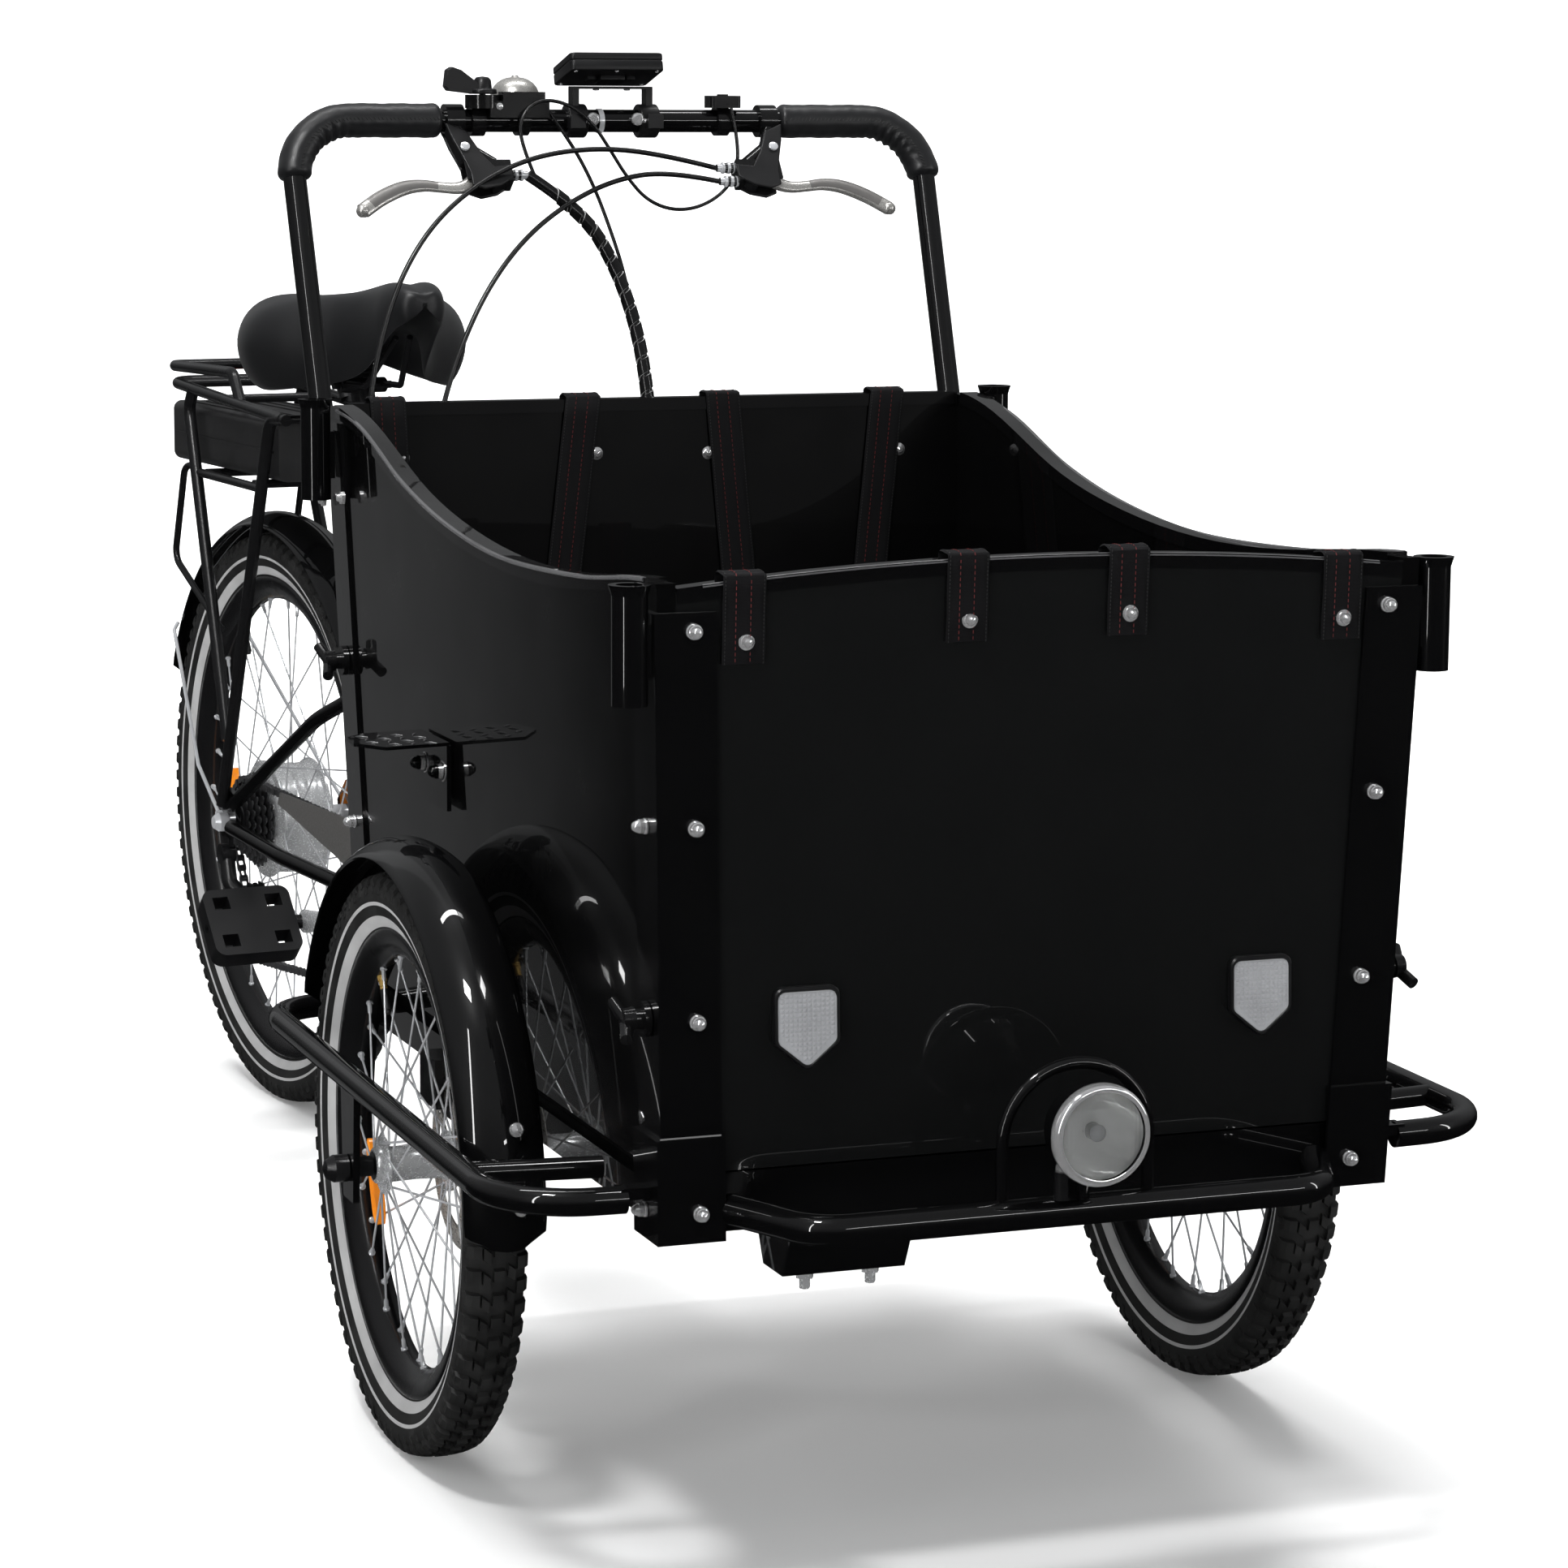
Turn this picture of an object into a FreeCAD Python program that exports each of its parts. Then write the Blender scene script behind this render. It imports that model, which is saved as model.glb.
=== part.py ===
import FreeCAD, Part
import math
import os

# Electric front-box cargo tricycle. Design frame: x to its left, y towards the rear from the box's
# front face, z up from the ground. The rear unit is drawn straight and then swung about the pivot.

V = FreeCAD.Vector

# ---------------------------------------------------------------- driving dimensions, mm
TRACK = 745.0
FRONT_AXLE_Y = 500.0
FRONT_R = 254.0
FRONT_BEAD_R = 203.0
REAR_AXLE_Y = 1882.0
REAR_R = 332.0
REAR_BEAD_R = 279.5
TYRE_W = 54.0
PIVOT_Y = 600.0
STEER_DEG = 6.0
ORIGIN_Y = 1055.4          # middle of the length, where the row's origin stands on the ground

BOX_Z0 = 294.0             # bottom of the corner angles
BOX_Z1 = 789.0             # height at which the top sizes hold
HALF_W0, HALF_W1 = 311.0, 325.0
FRONT_LEAN = 23.0          # the front face's foot stands this much further back
REAR_Y0, REAR_Y1 = 905.0, 945.0
PANEL_T = 15.0
ANGLE_T = 3.0
ANGLE_LEG = 50.0
PANEL_Z0 = 347.0
FRONT_TOP_Z, FRONT_ARCH = 798.0, 20.0
REAR_TOP_Z = 877.0
RAIL_Z0, RAIL_Z1 = 300.0, 330.0
NUT_PITCH = 152.0
SIDE_TOP = [(965, 877), (840, 864), (700, 824), (560, 799), (400, 787), (200, 793), (60, 806), (-10, 809)]

AXLE_R = 6.0
FIT = 0.05                 # radial clearance of a running fit
WHEEL_X = TRACK / 2
BUMPER_X = 430.0
BUMPER_R = 11.0
PLATE_X0, PLATE_X1 = 319.0, 325.0

LEAN_GAP = 0.6

BAR_R = 11.1
BAR_Y, BAR_Z, BAR_X = 1087.0, 1142.0, 326.0
BAR_FOOT = (322.0, 978.0, 790.0)
BAR_BEND = 60.0
GRIP_R = 17.0

BB_Y, BB_Z = 1432.0, 290.0
SEAT_ANGLE = 70.0
CRANK = 170.0
CRANK_DEG = -9.0
CHAIN_X = -50.0
DROP_X = 73.0               # middle of the dropout plates
SADDLE_Z = 887.0
RACK_X = 68.0
BATTERY = (58.0, 1742.0, 2100.0, 735.0, 804.0)    # half width, front, rear, bottom, top

CABLE_R = 2.5
LOOM_R = 5.5
WIRE_R = 1.8


# ---------------------------------------------------------------- small helpers
def block(x0, x1, y0, y1, z0, z1):
    return Part.makeBox(x1 - x0, y1 - y0, z1 - z0, V(x0, y0, z0))


def rod(start, end, radius):
    a, b = V(*start), V(*end)
    return Part.makeCylinder(radius, (b - a).Length, a, b - a)


def fuse(shapes):
    out = shapes[0].fuse(shapes[1:]) if len(shapes) > 1 else shapes[0]
    return out.removeSplitter()


def mirrored(shape):
    return shape.mirror(V(0, 0, 0), V(1, 0, 0))


def pair(shape):
    return [shape, mirrored(shape)]


def arc_path(points, radii):
    """Straight runs joined by tangent arcs; radii has one value for each inner point."""
    pts = [V(*p) for p in points]
    edges, at = [], pts[0]
    for i in range(1, len(pts) - 1):
        u = (pts[i] - pts[i - 1]).normalize()
        w = (pts[i + 1] - pts[i]).normalize()
        half = u.getAngle(w) / 2
        r = radii[i - 1]
        t = r * math.tan(half)
        a, b = pts[i] - u * t, pts[i] + w * t
        middle = pts[i] + (w - u).normalize() * (r / math.cos(half) - r)
        if (a - at).Length > 1e-6:
            edges.append(Part.LineSegment(at, a).toShape())
        edges.append(Part.Arc(a, middle, b).toShape())
        at = b
    edges.append(Part.LineSegment(at, pts[-1]).toShape())
    return Part.Wire(edges)


def sweep(wire, radius):
    first = wire.Edges[0]
    start = first.valueAt(first.FirstParameter)
    section = Part.Wire(Part.makeCircle(radius, start, first.tangentAt(first.FirstParameter)))
    return wire.makePipeShell([section], True, False)


def tube(points, radius, bend):
    return sweep(arc_path(points, [bend] * (len(points) - 2)), radius)


def cord(name, points, radius):
    """A cable along hand-set points, each arc as large as 0.45 of its shorter run allows."""
    pts = [V(*p) for p in points]
    radii = []
    for i in range(1, len(pts) - 1):
        u, w = pts[i] - pts[i - 1], pts[i + 1] - pts[i]
        radii.append(0.45 * min(u.Length, w.Length) / math.tan(u.getAngle(w) / 2))
    wire = arc_path(points, radii)
    solid = sweep(wire, radius)
    print(name, "length", round(wire.Length), "radii", [round(r) for r in radii],
          "volume ratio", round(solid.Volume / (math.pi * radius ** 2 * wire.Length), 3))
    return solid


def turned(profile, centre, axis=(1, 0, 0), angle=360.0):
    """Revolves a closed wire of points given as 3-D tuples."""
    face = Part.Face(Part.makePolygon([V(*p) for p in profile + profile[:1]]))
    return face.revolve(V(*centre), V(*axis), angle)


def lathe(rings, centre, axis_x=True):
    """Revolves (offset along the axis, radius) pairs about an axis along x, or along y."""
    cx, cy, cz = centre
    if axis_x:
        return turned([(cx + o, cy, cz + r) for o, r in rings], centre)
    return turned([(cx, cy + o, cz + r) for o, r in rings], centre, (0, 1, 0))


def prism_x(outline, x0, x1):
    face = Part.Face(Part.makePolygon([V(x0, y, z) for y, z in outline + outline[:1]]))
    return face.extrude(V(x1 - x0, 0, 0))


def loft_z(plan, z0, z1):
    """Ruled solid between the outlines that plan(z) gives at two heights."""
    wires = []
    for z in (z0, z1):
        pts = [V(x, y, z) for x, y in plan(z)]
        wires.append(Part.makePolygon(pts + pts[:1]))
    return Part.makeLoft(wires, True, True)


# ---------------------------------------------------------------- the box
def level(z):
    return (z - BOX_Z0) / (BOX_Z1 - BOX_Z0)


def half_width(z):
    return HALF_W0 + (HALF_W1 - HALF_W0) * level(z)


def front_y(z):
    return FRONT_LEAN * (1 - level(z))


def rear_y(z):
    return REAR_Y0 + (REAR_Y1 - REAR_Y0) * level(z)


def rect(x0, x1, y0, y1):
    return [(x0, y0), (x1, y0), (x1, y1), (x0, y1)]


def under_arch(rise):
    """Everything below the front panel's arched top edge, moved up by rise."""
    w, z = 340.0, FRONT_TOP_Z + rise
    edges = [Part.LineSegment(V(-w, -60, 200), V(w, -60, 200)).toShape(),
             Part.LineSegment(V(w, -60, 200), V(w, -60, z)).toShape(),
             Part.Arc(V(w, -60, z), V(0, -60, z + FRONT_ARCH), V(-w, -60, z)).toShape(),
             Part.LineSegment(V(-w, -60, z), V(-w, -60, 200)).toShape()]
    return Part.Face(Part.Wire(edges)).extrude(V(0, 140, 0))


def under_sweep(rise):
    """Everything below the side panels' S-shaped top edge, moved up by rise."""
    top = Part.BSplineCurve()
    top.interpolate([V(-400, y, z + rise) for y, z in SIDE_TOP])
    a, b = V(-400, SIDE_TOP[-1][0], SIDE_TOP[-1][1] + rise), V(-400, SIDE_TOP[0][0], SIDE_TOP[0][1] + rise)
    edges = [top.toShape(), Part.LineSegment(a, V(-400, a.y, 200)).toShape(),
             Part.LineSegment(V(-400, a.y, 200), V(-400, b.y, 200)).toShape(),
             Part.LineSegment(V(-400, b.y, 200), b).toShape()]
    return Part.Face(Part.Wire(edges)).extrude(V(800, 0, 0))


def front_wall(grow):
    def plan(z):
        y = front_y(z) + ANGLE_T
        w = half_width(z) - ANGLE_T - PANEL_T - (1.0 if grow else 0.0)
        return rect(-w, w, y - grow, y + PANEL_T + grow)
    return loft_z(plan, PANEL_Z0, 850.0)


def rear_wall(grow):
    def plan(z):
        y = rear_y(z) - ANGLE_T
        w = half_width(z) - ANGLE_T - PANEL_T - (1.0 if grow else 0.0)
        return rect(-w, w, y - PANEL_T - grow, y + grow)
    return loft_z(plan, PANEL_Z0, REAR_TOP_Z + (3.0 if grow else 0.0))


def side_wall(grow):
    def plan(z):
        w = half_width(z) - ANGLE_T
        return rect(w - PANEL_T - grow, w + grow, front_y(z) + ANGLE_T, rear_y(z) - ANGLE_T)
    return loft_z(plan, PANEL_Z0, 890.0)


def front_panel():
    return [front_wall(0).common(under_arch(0))]


def rear_panel():
    return [rear_wall(0)]


def side_panels():
    return pair(side_wall(0).common(under_sweep(0)))


def edge_trims():
    """U-shaped strips over the panels' top edges."""
    lip, cover, side_cover = 3.0, 9.0, 1.4
    top = front_wall(side_cover).common(under_arch(lip)).cut(under_arch(-cover)).cut(front_panel()[0])
    rear = rear_wall(side_cover).cut(block(-400, 400, 800, 1000, 200, REAR_TOP_Z - cover)).cut(rear_wall(0))
    side = side_wall(side_cover).common(under_sweep(lip)).cut(under_sweep(-cover)).cut(side_panels()[0])
    side = side.cut(block(250, 400, -60, 26, 700, 900)).cut(block(250, 400, 924, 990, 700, 900))
    return [top, rear] + pair(side)


def floor_and_benches():
    w = 288.0
    floor = block(-w - 3, w + 3, 46.5, 881.5, RAIL_Z1, PANEL_Z0 - 2)
    rear = fuse([block(-w, w, 668, 894, 556, 571), block(-w, w, 672, 687, PANEL_Z0 - 2, 558)])
    front = fuse([block(-w, w, 42, 250, 556, 571), block(-w, w, 233, 248, PANEL_Z0 - 2, 558)])
    return [floor, rear, front]


def corner_angles():
    front = loft_z(lambda z: angle_plan(z, front_y(z), 1), BOX_Z0, 786.0)
    rear = loft_z(lambda z: angle_plan(z, rear_y(z), -1), BOX_Z0, 864.0)
    return pair(front) + pair(rear) + edge_trims()


def angle_plan(z, y, s):
    w = half_width(z)
    return [(w, y), (w - ANGLE_LEG, y), (w - ANGLE_LEG, y + s * ANGLE_T), (w - ANGLE_T, y + s * ANGLE_T),
            (w - ANGLE_T, y + s * ANGLE_LEG), (w, y + s * ANGLE_LEG)]


def corner_shoes():
    """Steel sleeves round the foot of each corner angle, with the bumpers' lugs."""
    def shoe_plan(z, y, s):
        w = half_width(z) + 4
        return [(w, y - s * 4), (w - 56, y - s * 4), (w - 56, y), (w - 4, y), (w - 4, y + s * 54), (w, y + s * 54)]
    front = loft_z(lambda z: shoe_plan(z, front_y(z), 1), 292.0, 376.0)
    rear = loft_z(lambda z: shoe_plan(z, rear_y(z), -1), 292.0, 376.0)
    return pair(front) + pair(rear)


def cap_nut(at, direction):
    """Domed nut on a washer, on a bolt that goes back through the wall."""
    d = V(*direction).normalize()
    p = V(*at)
    washer = Part.makeCylinder(8.5, 1.5, p, d)
    body = Part.makeCylinder(6.5, 7.0, p + d * 1.5, d)
    dome = Part.makeSphere(5.6, p + d * 8.5)
    return fuse([washer, body, dome])


def panel_fasteners():
    """Domed nuts down both legs of each corner angle; LEAN_GAP keeps washers off the leaning faces."""
    out = []
    for k in range(4):
        z = 316.0 + NUT_PITCH * k
        w, y = half_width(z), front_y(z)
        proud = LEAN_GAP + (4.0 if z < 376 else 0.0)
        out += pair(cap_nut((w - 31, y - proud, z), (0, -1, 0)))
        if k in (0, 2):
            out += pair(cap_nut((w + proud, y + 24, z), (1, 0, 0)))
        z = 337.0 + NUT_PITCH * k
        w, y = half_width(z), rear_y(z)
        proud = LEAN_GAP + (4.0 if z < 376 else 0.0)
        out += pair(cap_nut((w - 31, y + proud, z), (0, 1, 0)))
        if k in (0, 1):
            out += pair(cap_nut((w + proud, y - 24, z), (1, 0, 0)))
    return out


def wing_knobs():
    """Black hand knobs with a rubber washer, one near each corner of the sides."""
    out = []
    for z, y in ((316.0 + NUT_PITCH, front_y(468) + 26), (337.0 + 2 * NUT_PITCH, rear_y(641) - 26)):
        w = half_width(z) + 1.0
        stem = lathe([(0, 0), (0, 14), (5, 14), (5, 8), (11, 8), (11, 10), (20, 9), (20, 0)], (w, y, z))
        wings = [rod((w + 16, y - 3 * s, z - 2), (w + 22, y + 17 * s, z + 12 * s), 5) for s in (-1, 1)]
        out += pair(fuse([stem] + wings))
    return out


def front_reflectors():
    """Pentagon reflectors, point down, lying on the leaning front panel."""
    half, top, shoulder, tip, cx = 27.0, 490.0, 446.0, 424.0, 195.0
    y = front_y(457) + ANGLE_T - 0.1
    pts = [V(cx - half, y, top), V(cx + half, y, top), V(cx + half, y, shoulder), V(cx, y, tip), V(cx - half, y, shoulder)]
    body = Part.Face(Part.makePolygon(pts + pts[:1])).extrude(V(0, -8, 0))
    body = body.makeFillet(5, [e for e in body.Edges if abs(e.tangentAt(e.FirstParameter).y) > 0.9])
    lean = math.degrees(math.atan(FRONT_LEAN / (BOX_Z1 - BOX_Z0)))
    body.rotate(V(0, y, 457), V(1, 0, 0), lean)
    return pair(body)


def harness_straps():
    """Webbing straps over the rear and front panels: x, sideways slant inside, length outside."""
    out = []
    k = (REAR_Y1 - REAR_Y0) / (BOX_Z1 - BOX_Z0)
    for x, slant, outside in ((-272, 8, 13), (-79, -38, 60), (63, 18, 60), (234, -34, 60)):
        top = REAR_TOP_Z + 5.0
        inner = rear_y(top) - ANGLE_T - PANEL_T - STRAP_GAP
        out.append(strap(x, slant, top, inner, inner + PANEL_T + 2 * STRAP_GAP, -k, 270, outside))
    k = -FRONT_LEAN / (BOX_Z1 - BOX_Z0)
    for x, slant, outside in ((-253, 12, 67), (-70, 6, 67), (66, -6, 67), (253, -12, 67)):
        top = FRONT_TOP_Z + FRONT_ARCH * (1 - (x / 340.0) ** 2) + 5.6
        outer = front_y(top) + ANGLE_T - STRAP_GAP
        out.append(strap(x, slant, top, outer + PANEL_T + 2 * STRAP_GAP, outer, -k, 200, outside))
    return out


STRAP_W, STRAP_T, STRAP_GAP = 38.0, 2.0, 1.8


def strap(x, slant, top, y_in, y_out, slope, inside, outside):
    """One strap: down the panel's inner face, over its top and down its outer face."""
    s = 1 if y_in > y_out else -1
    inner = strap_run(x, slant, top, y_in, y_in + s * STRAP_T, slope, inside)
    outer = strap_run(x, 0, top, y_out, y_out - s * STRAP_T, slope, outside)
    lo, hi = sorted((y_in + s * STRAP_T, y_out - s * STRAP_T))
    half = STRAP_W / 2
    return fuse([inner, outer, block(x - half, x + half, lo, hi, top, top + STRAP_T)])


def strap_run(x, slant, top, ya, yb, slope, drop):
    """Flat run that leans with its panel; its lower end is moved sideways by slant."""
    wires = []
    half = STRAP_W / 2
    for dx, dy, z in ((0, 0, top), (slant, slope * drop, top - drop)):
        pts = [V(x - half + dx, ya + dy, z), V(x + half + dx, ya + dy, z),
               V(x + half + dx, yb + dy, z), V(x - half + dx, yb + dy, z)]
        wires.append(Part.makePolygon(pts + pts[:1]))
    return Part.makeLoft(wires, True, True)


def pole_sockets():
    """Short tubes with flared caps at the four corners, which take a rain cover's poles."""
    out = []
    for x, y, z0, z1 in ((340.5, 12.0, 716.0, 808.0), (344.5, 924.0, 792.0, 886.0)):
        tube_r, flare_r = 14.0, 16.5
        barrel = rod((x, y, z0), (x, y, z1), tube_r)
        flare = Part.makeCone(tube_r, flare_r, 8.0, V(x, y, z1 - 8), V(0, 0, 1))
        lug = block(half_width(z1) + 0.3, x, y - 8, y + 8, z0 + 20, z1 - 30)
        out += pair(fuse([barrel, flare, lug]).cut(rod((x, y, z0 + 6), (x, y, z1 + 5), SOCKET_BORE_R)))
    return out


SOCKET_BORE_R = 10.5


# ---------------------------------------------------------------- the steel under the box
def chassis_frame():
    rails = [block(275, 305, 44, 884, RAIL_Z0, RAIL_Z1), block(-305, -275, 44, 884, RAIL_Z0, RAIL_Z1)]
    front = block(-306, 306, 26, 46, 298, 345)
    rear = block(-306, 306, 882, 902, 298, 345)
    beam = block(-322, 322, 485, 515, 268, RAIL_Z0 + 1)
    pivot_beam = block(-300, 300, 582, 618, 262, RAIL_Z0 + 1)
    cross = [block(-300, 300, y, y + 25, 302, 328) for y in (240, 740)]
    head = rod((0, PIVOT_Y, 216), (0, PIVOT_Y, RAIL_Z1 - 4), 34)
    plates = pair(prism_x([(462, RAIL_Z1), (538, RAIL_Z1), (538, 280), (516, 226), (484, 226), (462, 280)],
                          PLATE_X0, PLATE_X1))
    ties = pair(block(304, PLATE_X0 + 1, 470, 530, RAIL_Z0, RAIL_Z1))
    keel = prism_x([(28, 297.5), (120, 297.5), (96, 250), (52, 250)], -200, -96)
    body = fuse(rails + [front, rear, beam, pivot_beam, head] + cross + plates + ties)
    body = body.cut(rod((0, PIVOT_Y, 200), (0, PIVOT_Y, RAIL_Z1 + 5), PIVOT_R + FIT))
    for s in (-1, 1):
        body = body.cut(rod((s * 310, FRONT_AXLE_Y, FRONT_R), (s * 330, FRONT_AXLE_Y, FRONT_R), AXLE_R))
    return [body, keel] + corner_shoes()


PIVOT_R = 20.0


def front_axles():
    """Fixed front axles, each held in an inner and an outer plate, with a domed cap outside."""
    out = []
    x_in, x_out = PLATE_X0 - 3, BUMPER_X + 4
    axle = rod((x_in, FRONT_AXLE_Y, FRONT_R), (x_out + 2, FRONT_AXLE_Y, FRONT_R), AXLE_R)
    head = rod((x_in - 8, FRONT_AXLE_Y, FRONT_R), (PLATE_X0, FRONT_AXLE_Y, FRONT_R), 10)
    cap = lathe([(0, 0), (0, 12), (12, 12), (19, 8), (22, 0)], (x_out, FRONT_AXLE_Y, FRONT_R))
    spacer_in = lathe([(PLATE_X1, AXLE_R - 1), (PLATE_X1, 9), (330, 9), (330, AXLE_R - 1)], (0, FRONT_AXLE_Y, FRONT_R))
    spacer_out = lathe([(412, AXLE_R - 1), (412, 9), (BUMPER_X - 3, 9), (BUMPER_X - 3, AXLE_R - 1)], (0, FRONT_AXLE_Y, FRONT_R))
    out += pair(fuse([axle, head, cap, spacer_in, spacer_out]))
    return out


def bumpers():
    """Front D-bar with the lamp's hoop, and a side bumper with its outer axle plate on each side."""
    z = 315.0
    bar = tube([(-252, 24, z), (-214, -62, z), (214, -62, z), (252, 24, z)], 12.5, 38)
    r = 62.0
    legs = [Part.LineSegment(V(-r, -62, z), V(-r, -62, z + 55)).toShape(),
            Part.Arc(V(-r, -62, z + 55), V(0, -62, z + 117), V(r, -62, z + 55)).toShape(),
            Part.LineSegment(V(r, -62, z + 55), V(r, -62, z)).toShape()]
    hoop = sweep(Part.Wire(legs), 5.0)
    front = fuse([bar, hoop])
    rail = tube([(334, 42, 326), (BUMPER_X, 44, 327), (BUMPER_X, 806, 336), (306, 806, 332)], BUMPER_R, 72)
    lug = block(311, 340, 34, 52, 327, 336)
    stub = rod((BUMPER_X - 4, 152, 329), (319, 146, 327), 9)
    plate = prism_x([(478, 330), (522, 330), (516, 226), (484, 226)], BUMPER_X - 3, BUMPER_X + 3)
    side = fuse([rail, lug, stub, plate]).cut(rod((400, FRONT_AXLE_Y, FRONT_R), (450, FRONT_AXLE_Y, FRONT_R), AXLE_R))
    return [front] + pair(side)


def brake_calipers():
    x, y, z = 334.0, FRONT_AXLE_Y + 57, FRONT_R + 57
    body = fuse([block(x - 9, x + 11, y - 24, y + 24, z - 20, z + 24),
                 block(PLATE_X1, x, 520, 560, z - 30, z - 4)])
    body = body.cut(block(x - 3, x + 3, y - 40, y + 40, z - 60, z + 18))
    return pair(body)


def front_fenders():
    """Curved sheet over each front wheel, with a flat stay at the front and at the rear."""
    cx = WHEEL_X
    crown, edge, t = 284.0, 268.0, 2.0
    outer = Part.Arc(V(cx - 35, 0, edge), V(cx, 0, crown), V(cx + 35, 0, edge)).toShape()
    inner = Part.Arc(V(cx - 33, 0, edge - t), V(cx, 0, crown - t), V(cx + 33, 0, edge - t)).toShape()
    ends = [Part.LineSegment(V(cx - 35, 0, edge), V(cx - 33, 0, edge - t)).toShape(),
            Part.LineSegment(V(cx + 35, 0, edge), V(cx + 33, 0, edge - t)).toShape()]
    face = Part.Face(Part.Wire(Part.__sortEdges__([outer, inner] + ends)))
    sheet = face.revolve(V(cx, 0, 0), V(1, 0, 0), FENDER_SWEEP)
    sheet.rotate(V(cx, 0, 0), V(1, 0, 0), FENDER_REAR - 90)
    sheet.translate(V(0, FRONT_AXLE_Y, FRONT_R))
    return pair(sheet)


FENDER_REAR, FENDER_SWEEP = 21.0, 161.0      # degrees up from the rear, and round to the front


def headlamp_shell():
    """Bowl with a rim, open at the front, on a short post; the bulb stands inside."""
    y, z = LAMP
    bowl = lathe([(0, 36), (0, 39.5), (8, 39.5), (12, 37), (34, 34), (52, 24), (58, 12), (60, 0),
                  (57, 0), (55, 12), (49, 22), (32, 31.5), (10, 34.5), (6, 36)], (0, y, z), False)
    post = fuse([block(-9, 9, -70, -56, 322, 346), block(-3, 3, -78, -60, 326, 366)])
    bulb = lathe([(28, 0), (28, 5), (40, 6), (56, 6), (56, 0)], (0, y, z), False)
    return [fuse([bowl, bulb]), post.cut(rod((-60, -62, 315), (60, -62, 315), 12.5)).cut(
        lathe([(0, 0), (0, 39.5), (34, 34), (52, 24), (60, 0)], (0, y, z), False))]


def headlamp_lens():
    return [lathe([(-3, 0), (-1, 20), (1, 36), (6, 36), (6, 34.4), (4, 34.2), (2, 20), (0.5, 0)], (0.0, *LAMP), False)]


LAMP = (-112.0, 385.0)


def side_step():
    """Chequer plate that sticks out of the right side panel, on a flange with two nuts."""
    x, z = -(half_width(600) + 0.5), 607.0
    outline = [(4, 568), (-60, 557), (-80, 590), (-76, 628), (-55, 645), (4, 655)]
    pts = [V(x + dx, y, z) for dx, y in outline]
    plate = Part.Face(Part.makePolygon(pts + pts[:1])).extrude(V(0, 0, 3))
    flange = block(x - 4, x, 562, 644, z - 57, z + 1)
    inside = block(x, x + 20, 500, 700, z - 5, z + 10)
    bolts = [cap_nut((x - 4, y, 584), (-1, 0, 0)) for y in (574, 630)]
    return [fuse([plate.cut(inside), flange])] + bolts


# ---------------------------------------------------------------- handlebar and controls
def bar_points():
    x, y, z = BAR_FOOT
    return [(-x, y, z), (-x, y, z + 60), (-BAR_X, BAR_Y, BAR_Z), (BAR_X, BAR_Y, BAR_Z), (x, y, z + 60), (x, y, z)]


def handlebar():
    radii = [120.0, BAR_BEND, BAR_BEND, 120.0]
    bar = sweep(arc_path(bar_points(), radii), BAR_R)
    feet = []
    for z in (804.0, 838.0):
        y0 = rear_y(z) + 0.5
        feet += pair(block(BAR_FOOT[0] - 14, BAR_FOOT[0] + 1, y0, BAR_FOOT[1] + 3, z - 6, z + 6))
    return [fuse([bar] + feet)]


def grips():
    """Stitched sleeves over the bar's ends, from beside the brake clamp to just below the bend."""
    wire = arc_path(bar_points()[2 - 1:3 + 1], [BAR_BEND])
    whole = sweep(wire, GRIP_R)
    cutter = sweep(wire, BAR_R)
    sleeve = whole.cut(cutter).common(block(-400, -174, 900, 1200, 1084, 1200))
    return pair(sleeve)


LEVER_AT = (-150.0, 1046.0, 1090.0)
LEVER_UP = (0.0, 0.593, 0.805)


def lever_frame(shape):
    """Moves a shape from the lever's own axes (along, towards the bar, pivot axis) into place."""
    u, v = V(-1, 0, 0), V(*LEVER_UP)
    w = u.cross(v)
    m = FreeCAD.Matrix(u.x, v.x, w.x, LEVER_AT[0], u.y, v.y, w.y, LEVER_AT[1],
                       u.z, v.z, w.z, LEVER_AT[2], 0, 0, 0, 1)
    return shape.transformGeometry(m)


def bar_clamp(x, width, r_out):
    ring = rod((x - width / 2, BAR_Y, BAR_Z), (x + width / 2, BAR_Y, BAR_Z), r_out)
    return ring.cut(rod((x - width, BAR_Y, BAR_Z), (x + width, BAR_Y, BAR_Z), BAR_R))


def brake_bracket(offsets):
    """Right-hand clamp, neck and clevis with its pivot pin, and a cable adjuster at each offset."""
    cheeks = [block(-14, 12, -10, 12, s, s + 3) for s in (6.4, -9.4)]
    back = block(-34, -12, -12, 12, -9.4, 9.4)
    pin = rod((0, 0, -9.4), (0, 0, 9.4), 2.5)
    adjusters = []
    for v in offsets:
        adjusters.append(rod((-34, v, 0), (-46, v, 0), 5.0))
        adjusters.append(rod((-46, v, 0), (-52, v, 0), 3.6))
    clevis = lever_frame(fuse(cheeks + [back, pin] + adjusters))
    neck = tube([(-162, BAR_Y - 10, BAR_Z - 9), (-156, 1066, 1116), (-131, 1054, 1100)], 7.0, 12)
    return fuse([bar_clamp(-162, 18, 16), neck, clevis])


def adjuster_end(offset, side):
    """Middle of an adjuster's end face, where its cable starts."""
    x, y, z = LEVER_AT
    return (side * (x + 52), y + offset * LEVER_UP[1], z + offset * LEVER_UP[2])


def brake_lever():
    """Left brake lever: bored eye and curved blade, in its own axes."""
    eye = rod((0, 0, -6), (0, 0, 6), 8).cut(rod((0, 0, -8), (0, 0, 8), 2.5 + FIT))
    blade = tube([(5, -2, 0), (34, -8, 0), (70, -5, 0), (116, -27, 0)], 5.2, 26)
    knob = Part.makeSphere(6.6, V(115, -26.5, 0))
    return fuse([eye, blade.cut(rod((0, 0, -8), (0, 0, 8), 6)), knob])


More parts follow.
